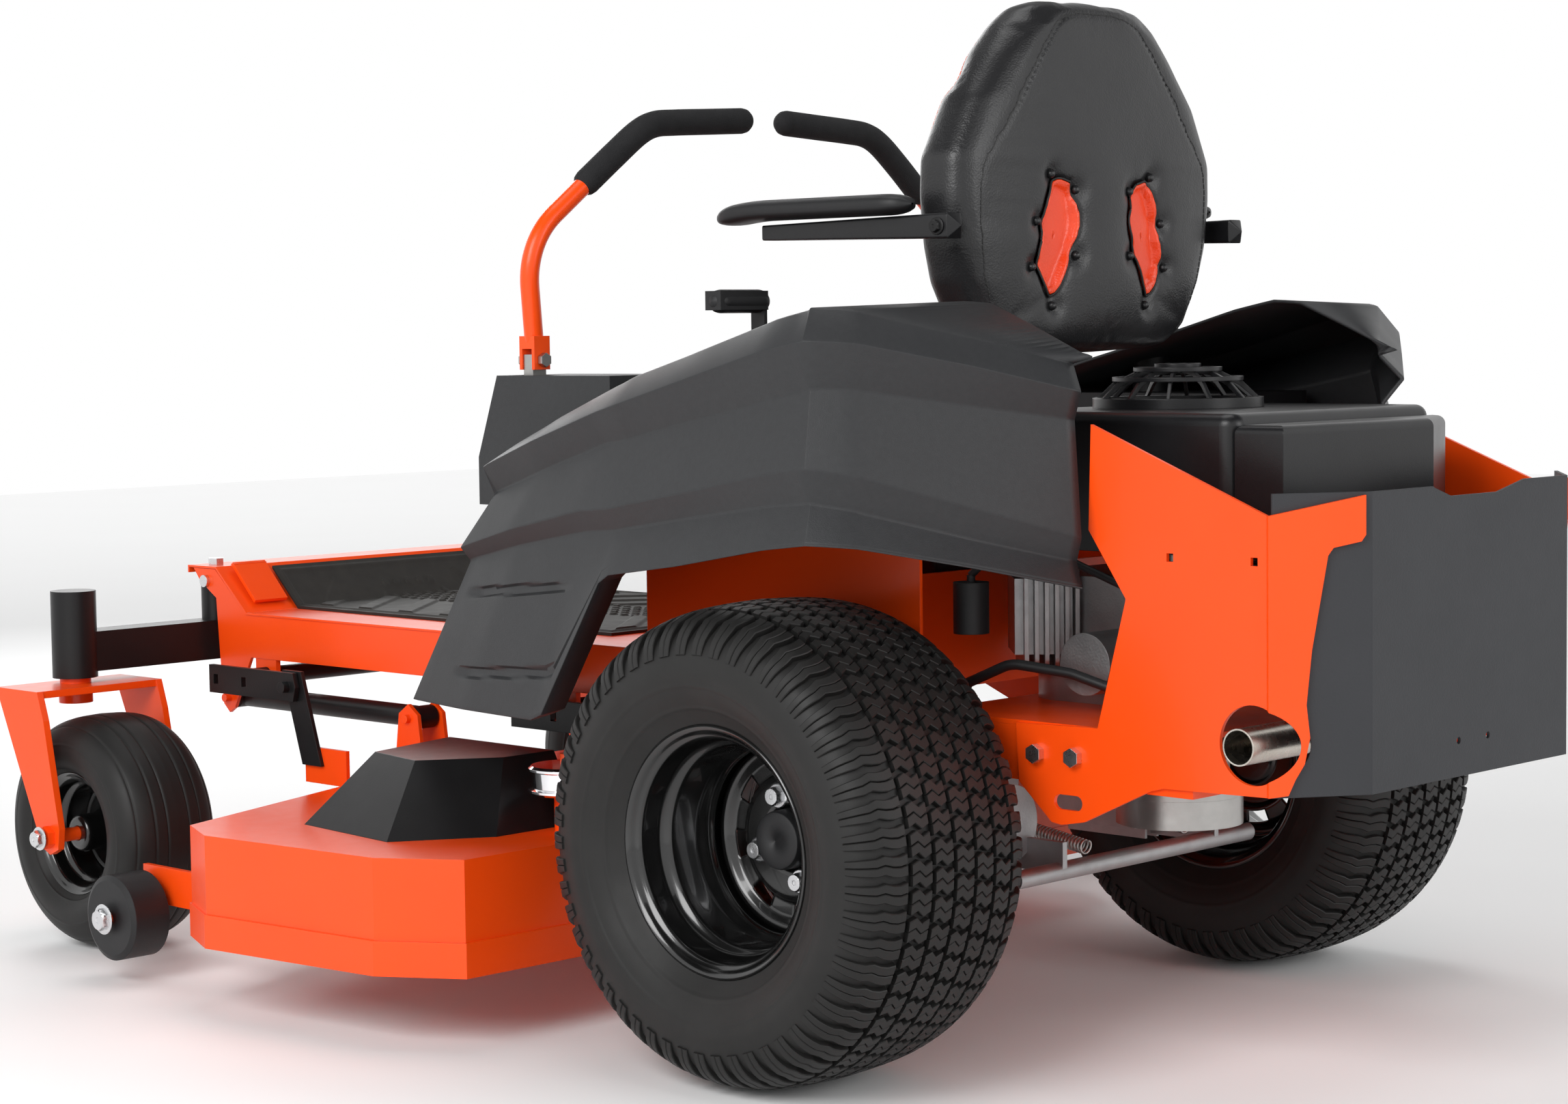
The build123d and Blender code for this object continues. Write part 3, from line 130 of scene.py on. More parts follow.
class Finish:
    """The finish of one material: its Principled shader and the nodes that feed it."""

    def __init__(self, name, **constants):
        self.material = bpy.data.materials.new(name)
        self.material.use_nodes = True
        self.tree = self.material.node_tree
        self.shader = self.tree.nodes["Principled BSDF"]
        for key, value in constants.items():
            self.feed(self.shader.inputs[key.replace("_", " ")], value)

    def feed(self, socket, value):
        """Link a Level to a socket, or set the socket's own value."""
        if isinstance(value, Level):
            self.tree.links.new(value.socket, socket)
        elif isinstance(value, tuple) and len(value) == 3 and socket.type == "RGBA":
            socket.default_value = (*value, 1.0)
        else:
            socket.default_value = value

    def node(self, kind, settings=None, values=None, output=0):
        """A new node: its settings first, then the values or links of its sockets."""
        made = self.tree.nodes.new(kind)
        for key, value in (settings or {}).items():
            if key == "stops":
                for element, (place, colour) in zip(made.color_ramp.elements, value):
                    element.position, element.color = place, (*colour, 1.0)
            else:
                setattr(made, key, value)
        for key, value in (values or {}).items():
            self.feed(made.inputs[key], value)
        return Level(self, made.outputs[output])

    def place(self):
        """Where a point lies on the machine."""
        return self.node("ShaderNodeTexCoord", output="Object")

    def noise(self, scale, detail=3.0, rough=0.5, vector=None):
        """Soft random level from 0 to 1."""
        return self.node("ShaderNodeTexNoise", values={"Vector": vector or self.place(), "Scale": scale,
                                                       "Detail": detail, "Roughness": rough})

    def cells(self, scale):
        """Distance from the nearest of many scattered points, as in moulded grain."""
        return self.node("ShaderNodeTexVoronoi", values={"Vector": self.place(), "Scale": scale})

    def span(self, level, low, high):
        """A 0 to 1 level carried to the range low to high."""
        return level * (high - low) + low

    def tint(self, level, dark, light):
        """Colour between dark and light."""
        return self.node("ShaderNodeMix", {"data_type": "RGBA"}, {0: level, 6: dark, 7: light}, output=2)

    def relief(self, level, depth, strength=1.0, edge=0.0):
        """Fine relief on the surface; edge rounds the sharp corners of sheet and mouldings."""
        values = {"Height": level, "Distance": depth, "Strength": strength}
        if edge:
            values["Normal"] = self.node("ShaderNodeBevel", {"samples": 4}, {"Radius": edge})
        self.feed(self.shader.inputs["Normal"], self.node("ShaderNodeBump", values=values))


def plain_floor():
    """Pale matt floor paint with a barely visible cloudiness."""
    finish = Finish("floor_paint", Roughness=0.75)
    finish.feed(finish.shader.inputs["Base Color"],
                finish.tint(finish.noise(1.5), (0.93, 0.93, 0.93), (0.95, 0.95, 0.95)))
    return finish.material


def grid(points, wrap_rows=False, wrap_columns=False):
    """Vertices and quads of a two-parameter grid of points, closed on itself where it wraps."""
    index = np.arange(points.shape[0] * points.shape[1]).reshape(points.shape[:2])
    if wrap_rows:
        index = np.vstack([index, index[:1]])
    if wrap_columns:
        index = np.hstack([index, index[:, :1]])
    corners = (index[:-1, :-1], index[1:, :-1], index[1:, 1:], index[:-1, 1:])
    return points.reshape(-1, 3), np.stack(corners, -1).reshape(-1, 4)


def built(name, shells, material, sharp=40.0):
    """One object from several shells of (vertices, quads), welded, with its faces turned outwards."""
    starts = np.cumsum([0] + [len(points) for points, _ in shells])
    faces = np.concatenate([quads + start for (_, quads), start in zip(shells, starts)])
    mesh = bpy.data.meshes.new(name)
    mesh.from_pydata(np.concatenate([points for points, _ in shells]).tolist(), [], faces.tolist())
    work = bmesh.new()
    work.from_mesh(mesh)
    bmesh.ops.remove_doubles(work, verts=work.verts, dist=2e-6)
    bmesh.ops.dissolve_degenerate(work, edges=work.edges, dist=1e-7)
    bmesh.ops.recalc_face_normals(work, faces=work.faces)
    work.to_mesh(mesh)
    work.free()
    mesh.shade_smooth()
    mesh.set_sharp_from_angle(angle=np.radians(sharp))
    mesh.materials.append(material)
    thing = bpy.data.objects.new(name, mesh)
    bpy.context.scene.collection.objects.link(thing)
    return thing


def fitted(thing, body, slot, *nodes):
    """Fix a piece to its body and, where it stands for CAD nodes, hide those."""
    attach(thing, body)
    if nodes:
        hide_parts(*nodes)
    return thing


FLOOR_HALF = 12.0
floor_line = np.array([-FLOOR_HALF, FLOOR_HALF])
floor_x, floor_y = np.meshgrid(floor_line, floor_line, indexing="ij")
floor_points = np.stack([floor_x, floor_y, np.full_like(floor_x, -0.0005)], -1)
floor = built("floor", [grid(floor_points)], plain_floor())

CLOTH_HIGH = 4.6
CLOTH_HALF = 4.5
cloth_points = np.stack([floor_x * CLOTH_HALF / FLOOR_HALF, floor_y * CLOTH_HALF / FLOOR_HALF,
                         np.full_like(floor_x, CLOTH_HIGH)], -1)
black_cloth = Finish("studio_cloth", Base_Color=(0.004, 0.004, 0.004), Roughness=0.95)
built("overhead_cloth", [grid(cloth_points)], black_cloth.material)


# ---- steel frame and sheet metal --------------------------------------------------------------
# Rails, floor pan, engine plates, lap bars, forks and the mower deck are welded steel plate and
# tube with a baked orange powder coat; the axle, links and covers are coated satin black.
def powder_coat(name, dark, light, roughness, peel=0.00006, coat=0.0):
    """Baked powder: slight orange peel, a little cloudiness and softened plate edges."""
    finish = Finish(name, Coat_Weight=coat, Coat_Roughness=0.12, Specular_IOR_Level=0.3)
    patch = finish.noise(9.0, 4.0)
    finish.feed(finish.shader.inputs["Base Color"], finish.tint(patch, dark, light))
    finish.feed(finish.shader.inputs["Roughness"],
                finish.span(finish.noise(35.0, 5.0, 0.6), roughness - 0.05, roughness + 0.07))
    finish.relief(finish.noise(420.0, 2.0), peel, edge=0.0012)
    return finish.material


def coated(material, *names):
    """Give CAD nodes their finish."""
    for name in names:
        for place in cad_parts[name].material_slots:
            place.material = material


orange = powder_coat("orange_powder", (0.90, 0.066, 0.0025), (0.95, 0.078, 0.004), 0.30, coat=0.12)
black = powder_coat("black_powder", (0.005, 0.005, 0.005), (0.009, 0.009, 0.010), 0.38, 0.0001)
bumper_grey = powder_coat("bumper_powder", (0.026, 0.027, 0.030), (0.034, 0.035, 0.039), 0.50, 0.00022)
coated(orange, "frame_rails", "foot_deck", "rear_frame", "deck_shell", "lap_bar_left", "lap_bar_right",
       "caster_fork_left", "caster_fork_right")
coated(black, "front_axle", "hanger_links", "belt_covers", "lift_rocker_front", "lift_rocker_rear",
       "trailing_links", "seat_pan")
coated(bumper_grey, "rear_bumper")


# ---- metal parts ------------------------------------------------------------------------------
# Castings of the engine and drives, turned shafts, zinc plated fasteners, the chromed idler
# and the stainless muffler are bare or plated metal.
def metal(name, dark, light, roughness, grain, depth):
    """Bare metal: metallic, with cast or turned grain and uneven shine."""
    finish = Finish(name, Metallic=1.0)
    finish.feed(finish.shader.inputs["Base Color"], finish.tint(finish.noise(40.0, 5.0), dark, light))
    finish.feed(finish.shader.inputs["Roughness"],
                finish.span(finish.noise(90.0, 4.0), roughness - 0.06, roughness + 0.10))
    finish.relief(finish.noise(grain, 3.0), depth, edge=0.0008)
    return finish.material


zinc = metal("zinc_plate", (0.62, 0.63, 0.66), (0.78, 0.78, 0.78), 0.26, 600.0, 0.00004)
gold_zinc = metal("yellow_zinc", (0.48, 0.38, 0.16), (0.68, 0.60, 0.38), 0.34, 500.0, 0.00005)
cast = metal("cast_aluminium", (0.34, 0.34, 0.35), (0.50, 0.50, 0.50), 0.46, 380.0, 0.00025)
steel = metal("turned_steel", (0.36, 0.35, 0.34), (0.52, 0.51, 0.49), 0.33, 300.0, 0.00006)
chrome = metal("chrome", (0.82, 0.82, 0.84), (0.90, 0.90, 0.92), 0.09, 200.0, 0.00001)
stainless = metal("tail_pipe_steel", (0.46, 0.42, 0.36), (0.70, 0.66, 0.60), 0.25, 200.0, 0.00005)
coated(cast, "engine_block", "transaxles")
coated(steel, "crankshaft", "spindle_left", "spindle_centre", "spindle_right", "lever_pivot_left",
       "lever_pivot_right", "return_springs")
coated(zinc, "chassis_bolts")
coated(chrome, "idler_pulley")
coated(stainless, "muffler")


# ---- moulded plastic --------------------------------------------------------------------------
# Consoles, covers, tank and knobs are moulded in black plastic with a fine leather-like grain.
def moulded(name, dark, light, roughness, grain=900.0, depth=0.00018):
    """Textured mould: pebble grain in the relief, and a tone that varies a little at random."""
    finish = Finish(name, Specular_IOR_Level=0.42)
    pebbles = finish.cells(grain)
    finish.feed(finish.shader.inputs["Base Color"], finish.tint(finish.noise(140.0, 5.0, 0.7), dark, light))
    finish.feed(finish.shader.inputs["Roughness"],
                finish.span(finish.noise(18.0, 5.0), roughness - 0.05, roughness + 0.07))
    finish.relief(pebbles * 0.7 + finish.noise(grain * 0.4) * 0.6, depth, 0.8, edge=0.0015)
    return finish.material


body_plastic = moulded("body_plastic", (0.015, 0.0155, 0.017), (0.026, 0.027, 0.029), 0.46)
engine_plastic = moulded("engine_plastic", (0.004, 0.004, 0.005), (0.009, 0.009, 0.010), 0.33, 700.0, 0.00007)
soft_plastic = moulded("soft_plastic", (0.006, 0.006, 0.007), (0.012, 0.012, 0.013), 0.50, 1100.0, 0.00012)
coated(body_plastic, "console_left", "console_right", "discharge_chute")
coated(engine_plastic, "engine_shroud", "air_cleaner_cover", "fan_guard")
coated(soft_plastic, "fuel_tank", "battery", "fuel_cap", "brake_lever", "ignition_key", "blade_switch",
       "scalp_wheel_left", "scalp_wheel_right", "armrest_left", "armrest_right", "fuel_and_wiring")


# ---- rear tyres -------------------------------------------------------------------------------
# Turf tyres moulded in black rubber: a smooth carcass with rings on its side walls, five rows of
# zig-zag blocks, each cut by a thin sipe, and long shoulder lugs that wrap over the edge.
def tyre_rubber(name):
    """Dull rubber, slightly brown and dusty in patches, with fine mould grain."""
    finish = Finish(name, Specular_IOR_Level=0.32)
    finish.feed(finish.shader.inputs["Base Color"],
                finish.tint(finish.noise(14.0, 6.0, 0.65), (0.006, 0.0058, 0.0055), (0.016, 0.0155, 0.015)))
    finish.feed(finish.shader.inputs["Roughness"], finish.span(finish.noise(22.0, 5.0), 0.42, 0.62))
    finish.relief(finish.noise(700.0, 4.0), 0.00010)
    return finish.material


rubber = tyre_rubber("tyre_rubber")


def smooth_line(points, count):
    """Points evenly spaced along the Catmull-Rom curve through the given ones."""
    fixed = np.asarray(points, float)
    fixed = np.vstack([2 * fixed[0] - fixed[1], fixed, 2 * fixed[-1] - fixed[-2]])
    along = np.linspace(0, len(fixed) - 3, 6 * count)
    start = np.minimum(along.astype(int), len(fixed) - 4)
    part = (along - start)[:, None]
    a, b, c, d = (fixed[start + k] for k in range(4))
    curve = 0.5 * (2 * b + (c - a) * part + (2 * a - 5 * b + 4 * c - d) * part ** 2
                   + (3 * b - a - 3 * c + d) * part ** 3)
    return even_line(curve, count)


def even_line(curve, count):
    """The same line with its points evenly spaced."""
    run = np.concatenate([[0], np.cumsum(np.linalg.norm(np.diff(curve, axis=0), axis=1))])
    even = np.linspace(0, run[-1], count)
    return np.stack([np.interp(even, run, column) for column in curve.T], 1)


def turned(profile, centre, side, count, wrap=False):
    """Surface of revolution about a wheel's axle: (outboard distance, radius) turned once round."""
    angle = np.linspace(0, 2 * np.pi, count, endpoint=False)[:, None]
    out = np.broadcast_to(profile[:, 0], (count, len(profile)))
    points = np.stack([side * out, profile[:, 1] * np.sin(angle), profile[:, 1] * np.cos(angle)], -1)
    return grid(points + centre, True, wrap)


class Carcass:
    """Half section of a tyre, mirrored about its middle: place and outward normal at a distance
    along the section from the middle of the tread."""

    def __init__(self, half_section, rings):
        half = smooth_line(half_section, 240)
        self.line = np.vstack([half[:0:-1] * (-1, 1), half])
        step = np.linalg.norm(np.diff(self.line, axis=0), axis=1)
        self.along = np.concatenate([[0], np.cumsum(step)])
        self.along -= self.along[-1] / 2
        slope = np.gradient(self.line, axis=0)
        normal = np.stack([-slope[:, 1], slope[:, 0]], 1)
        self.normal = normal / np.linalg.norm(normal, axis=1)[:, None]
        for place, wide, tall in rings:
            swell = tall * np.exp(-((np.abs(self.along) - place) / wide) ** 2)
            self.line = self.line + self.normal * swell[:, None]

    def map(self, across, around, height, radius):
        """Points on the tyre: across the section, around the tread and above the carcass."""
        out, up, out_n, up_n = (np.interp(across, self.along, values) for values in
                                (self.line[:, 0], self.line[:, 1], self.normal[:, 0], self.normal[:, 1]))
        reach = up + up_n * height
        angle = around / radius
        return np.stack(np.broadcast_arrays(out + out_n * height, reach * np.sin(angle),
                                            reach * np.cos(angle)), -1)


def tread_row(carcass, stations, half_wide, middle, height, count, shift, radius):
    """One row of blocks round the tyre. Each block is a strip of stations across the tread whose
    two edges follow the same zig-zag; its top is chamfered and its foot sinks into the carcass."""
    chamfer, foot = 0.0010, 0.0020
    edge = np.stack([-half_wide - 0.0006, -half_wide, -half_wide + chamfer,
                     half_wide - chamfer, half_wide, half_wide + 0.0006], -1)
    lift = np.stack([0 * height - foot, height - chamfer, height, height, height - chamfer,
                     0 * height - foot], -1)
    pitch = 2 * np.pi * radius / count
    turns = (np.arange(count) + shift)[:, None, None] * pitch
    points = carcass.map(np.broadcast_to(stations[:, None], edge.shape)[None],
                         turns + (edge + middle[:, None])[None], lift[None], radius)
    rows = len(stations)
    index = np.arange(rows * 6).reshape(rows, 6)
    loop = np.hstack([index, index[:, :1]])
    sides = np.stack([loop[:-1, :-1], loop[1:, :-1], loop[1:, 1:], loop[:-1, 1:]], -1).reshape(-1, 4)
    caps = np.array([[end[a], end[b], end[c], end[d]] for end in (index[0], index[-1])
                     for a, b, c, d in ((0, 1, 4, 5), (1, 2, 3, 4))])
    quads = np.vstack([sides, caps])
    starts = np.arange(count)[:, None, None] * rows * 6
    return points.reshape(-1, 3), (quads[None] + starts).reshape(-1, 4)


REAR_HALF_SECTION = np.array([
    (0, 268.5), (50, 266.5), (82, 262.6), (108, 254.5), (124, 243), (133, 229), (138, 212), (138.6, 198),
    (134, 180), (126, 164), (117, 151), (112, 144), (106, 136), (99, 130),
]) / 1000
REAR_RINGS = [(0.187, 0.0016, 0.0010), (0.2155, 0.0014, 0.0009), (0.243, 0.0013, 0.0012),
              (0.249, 0.0013, 0.0012), (0.255, 0.0013, 0.0012)]
PITCHES = 54
BLOCK_TALL = 0.0074
ROWS_AT = (-0.066, -0.033, 0.0, 0.033, 0.066)


def zigzag(across, middle, reach):
    """Lightning-shaped edge: down, up and down again over the width of a block."""
    local = (across - middle) / 0.0135
    return reach * np.interp(local, [-1, -0.3, 0.3, 1], [0.15, -1, 1, -0.15])


def turf_tread(carcass):
    """All blocks of the tread as shells."""
    radius = REAR_HALF_SECTION[0, 1]
    shells = []
    for number, middle in enumerate(ROWS_AT):
        stations = middle + 0.0135 * np.array([-1.0, -0.3, 0.3, 1.0])
        for half in (-1, 1):
            around = zigzag(stations, middle, 0.0036) + half * 0.0062
            shells.append(tread_row(carcass, stations, np.full(4, 0.0057), around,
                                    np.full(4, BLOCK_TALL), PITCHES, 0.38 * number, radius))
    share = np.linspace(0, 1, 9)
    for side in (-1, 1):
        stations = side * (0.0855 + 0.0670 * share)
        middle = side * 0.103
        tall = BLOCK_TALL * (1 - 0.72 * share ** 2)
        for half in (-1, 1):
            around = zigzag(stations, middle, 0.0036) + half * (0.0062 - 0.0016 * share)
            shells.append(tread_row(carcass, stations, 0.0057 - 0.0014 * share, around, tall, PITCHES,
                                    0.38 * (2 + 3 * side), radius))
    return shells


def rear_tyre(side, name):
    """Closed carcass, bead to bead, with the tread on it, on one side of the machine."""
    carcass = Carcass(REAR_HALF_SECTION, REAR_RINGS)
    centre = np.array(sum(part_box(name), start=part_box(name)[0] * 0)) / 2
    shells = [turned(even_line(carcass.line, 230), np.zeros(3), 1, 216, wrap=True)]
    shells += turf_tread(carcass)
    shells = [(points * (side, 1, 1) + centre, quads) for points, quads in shells]
    return built(name.replace("tyre", "turf_tyre"), shells, rubber, sharp=32)


for side, label in ((-1, "left"), (1, "right")):
    fitted(rear_tyre(side, f"tyre_rear_{label}"), f"wheel_rear_{label}", "tyre_rubber",
           f"tyre_rear_{label}")


# ---- rear rims --------------------------------------------------------------------------------
# Deep pressed steel rims in gloss black enamel: rolled lips, a stepped barrel, and a dished disc
# with eight vent windows, held to the hub by four plated bolts round a plastic dust cap.
def enamel(name):
    """Deep gloss black with a thin clear film and faint dust."""
    finish = Finish(name, Coat_Weight=0.6, Coat_Roughness=0.05)
    finish.feed(finish.shader.inputs["Base Color"],
                finish.tint(finish.noise(12.0, 5.0), (0.002, 0.002, 0.002), (0.005, 0.005, 0.005)))
    finish.feed(finish.shader.inputs["Roughness"], finish.span(finish.noise(30.0, 5.0), 0.16, 0.30))
    finish.relief(finish.noise(160.0, 2.0), 0.00004)
    return finish.material


gloss_black = enamel("rim_enamel")
RIM_BARREL = np.array([
    (111, 143), (112.5, 140), (110, 137), (105, 134), (101, 128), (76, 126.5), (70, 123), (64, 116),
    (26, 114), (20, 111), (14, 108), (6, 108), (-2, 111), (-10, 114), (-60, 116), (-72, 124),
    (-101, 128), (-106, 134), (-110, 138), (-111, 143),
]) / 1000
DISC_LINE = np.array([
    (-14, 112), (-9, 107), (-9, 102), (-14, 97), (-18, 93), (-19.5, 76), (-17, 71), (-12, 67),
    (-12, 40), (-15, 36), (-16, 20), (-16, 0.5),
]) / 1000
DISC_RINGS = 48
WINDOWS, WINDOW_SHARE = 8, 0.42
WINDOW_FROM, WINDOW_TO = 0.0765, 0.0925
STUD_RADIUS, STUDS = 0.0508, 4


def thickened(thing, thick):
    """Sheet of that thickness, half on each side of the surface."""
    wall = thing.modifiers.new("sheet", "SOLIDIFY")
    wall.thickness, wall.offset = thick, 0.0
    return thing


def bolt_head(centre, axis, across, tall):
    """Chamfered hexagon on a round flange: rings whose radius goes from round to six-sided."""
    angle = np.linspace(0, 2 * np.pi, 36, endpoint=False)[:, None]
    sector = np.mod(angle + np.pi / 6, np.pi / 3) - np.pi / 6
    six = across / 2 / np.cos(sector)
    rings = [(0.0, 0.78 * across + 0 * six), (0.12, 0.78 * across + 0 * six), (0.2, 0.70 * across + 0 * six),
             (0.2, six), (0.84, six), (1.0, np.minimum(six, across / 2 * 0.97)), (1.0, 0.30 * six),
             (0.93, 0.24 * six), (0.93, 0.001 * six)]
    radius = np.concatenate([ring for _, ring in rings], 1)
    height = np.array([share for share, _ in rings]) * tall
    axis = np.asarray(axis, float) / np.linalg.norm(axis)
    first = np.cross(axis, (0, 0, 1) if abs(axis[2]) < 0.9 else (1, 0, 0))
    first /= np.linalg.norm(first)
    second = np.cross(axis, first)
    points = (np.asarray(centre, float) + height[None, :, None] * axis
              + radius[..., None] * (np.cos(angle)[..., None] * first + np.sin(angle)[..., None] * second))
    return grid(points, wrap_rows=True)


def disc(centre, side, line):
    """Dished disc as rings about the axle, with the quads of its vent windows left out."""
    profile = even_line(line, DISC_RINGS)
    count = 160
    points, quads = turned(profile, centre, side, count)
    ring = profile[:, 1]
    radius = (ring[:-1] + ring[1:]) / 2
    turn = np.mod(np.arange(count) / count * WINDOWS, 1.0)
    open_ring = (radius > WINDOW_FROM) & (radius < WINDOW_TO)
    keep = ~((turn < WINDOW_SHARE)[:, None] & open_ring[None, :])
    return points, quads[keep.ravel()]


for side, label in ((-1, "left"), (1, "right")):
    low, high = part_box(f"tyre_rear_{label}")
    hub = np.array((low + high) / 2)
    barrel = built(f"barrel_{label}", [turned(even_line(RIM_BARREL, 90), hub, side, 160),
                                       disc(hub, side, DISC_LINE)], gloss_black, sharp=50)
    thickened(barrel, 0.003)
    fitted(barrel, f"wheel_rear_{label}", "rim_paint", f"rim_rear_{label}")
    cap_line = np.array([(-14, 34), (6, 33.5), (9.5, 32), (11, 28), (11.5, 0.2)]) / 1000
    cap = built(f"dust_cap_{label}", [turned(cap_line, hub, side, 64)], soft_plastic)
    fitted(thickened(cap, 0.001), f"wheel_rear_{label}", "arm_plastic")
    spin = np.radians(20 + 90 * np.arange(STUDS))
    heads = [bolt_head(hub + (side * -0.012, STUD_RADIUS * np.sin(turn), STUD_RADIUS * np.cos(turn)),
                       (side, 0, 0), 0.019, 0.013) for turn in spin]
    fitted(built(f"wheel_bolts_{label}", heads, zinc, sharp=30), f"wheel_rear_{label}", "zinc_fasteners")


# ---- caster wheels ----------------------------------------------------------------------------
# Smooth ribbed front tyres on small black rims that turn on a through bolt in the fork.
CASTER_HALF_SECTION = np.array([
    (0, 163.4), (30, 161.8), (50, 157.5), (64, 149), (73, 138), (78.5, 123), (79, 108), (73, 95), (64, 86),
    (58, 79),
]) / 1000
CASTER_RINGS = [(0.018, 0.0013, -0.0018), (0.037, 0.0013, -0.0018), (0.064, 0.0014, -0.0012),
                (0.094, 0.0012, 0.0009), (0.128, 0.0012, 0.0009)]
CASTER_BARREL = np.array([
    (63, 88), (64.5, 85), (61, 82), (57, 76), (40, 74), (34, 66), (4, 64), (-4, 64), (-34, 66), (-40, 74),
    (-57, 76), (-61, 82), (-64.5, 85), (-63, 88),
]) / 1000
CASTER_DISC = np.array([(-2, 65), (0, 58), (2, 40), (5, 30), (20, 25), (56, 24), (58, 20), (58, 9.8)]) / 1000
for side, label in ((-1, "left"), (1, "right")):
    low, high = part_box(f"caster_tyre_{label}")
    hub = np.array((low + high) / 2)
    ribbed = Carcass(CASTER_HALF_SECTION, CASTER_RINGS)
    shell = turned(even_line(ribbed.line, 190), hub, side, 168, wrap=True)
    fitted(built(f"ribbed_tyre_{label}", [shell], rubber), f"caster_wheel_{label}", "tyre_rubber",
           f"caster_tyre_{label}")
    shells = [turned(even_line(CASTER_BARREL, 60), hub, side, 120)]
    shells += [turned(even_line(CASTER_DISC, 40), hub, end, 120) for end in (-1, 1)]
    wheel = thickened(built(f"caster_barrel_{label}", shells, gloss_black, sharp=50), 0.0026)
    fitted(wheel, f"caster_wheel_{label}", "rim_paint", f"caster_rim_{label}")


# ---- fenders ----------------------------------------------------------------------------------
# One large rotomoulded cover over each rear wheel. Its skin is folded into bands: a raised top
# band, an undercut, the main face, a recess and the arch band, and it ends in a turned-in lip.
# Each station of the skin is a plan place with the heights of its folds; rake leans it forward.
FENDER_STATIONS = [
    # across, along, rake, heights of: crown, band, undercut, main, recess, foot
    (0.300, 0.440, 0.50, (0.712, 0.690, 0.655, 0.588, 0.572, 0.396)),
    (0.448, 0.478, 0.50, (0.709, 0.688, 0.655, 0.588, 0.572, 0.396)),
    (0.505, 0.455, 0.48, (0.714, 0.693, 0.658, 0.592, 0.575, 0.396)),
    (0.536, 0.330, 0.40, (0.752, 0.727, 0.690, 0.621, 0.600, 0.396)),
    (0.556, 0.190, 0.30, (0.797, 0.765, 0.728, 0.650, 0.624, 0.396)),
    (0.561, 0.172, 0.10, (0.802, 0.770, 0.731, 0.653, 0.627, 0.574)),
    (0.568, 0.060, 0.00, (0.830, 0.798, 0.754, 0.674, 0.646, 0.592)),
    (0.572, -0.080, 0.00, (0.868, 0.833, 0.780, 0.699, 0.665, 0.616)),
    (0.568, -0.142, 0.00, (0.880, 0.844, 0.792, 0.707, 0.669, 0.623)),
    (0.530, -0.182, 0.00, (0.877, 0.841, 0.791, 0.698, 0.660, 0.619)),
    (0.420, -0.257, 0.00, (0.845, 0.814, 0.771, 0.660, 0.626, 0.594)),
    (0.318, -0.326, 0.00, (0.814, 0.784, 0.753, 0.624, 0.597, 0.568)),
]
# how far each fold stands inside the widest line, and the width of the turned-in lip
FOLD_INSET = np.array([0.030, 0.001, 0.026, 0.003, 0.021, 0.000])
# grooves across the front leg: height at its front edge, rise towards the rear, half height, depth
GROOVES = ((0.5375, 0.0905, 0.0065, 0.006), (0.4395, 0.080, 0.0070, 0.006))
LEG_FRONT, LEG_REAR = 0.490, 0.285
FENDER_INNER = 0.302
LIP_WIDE = 0.034
FOLD_SOFT = 0.0022


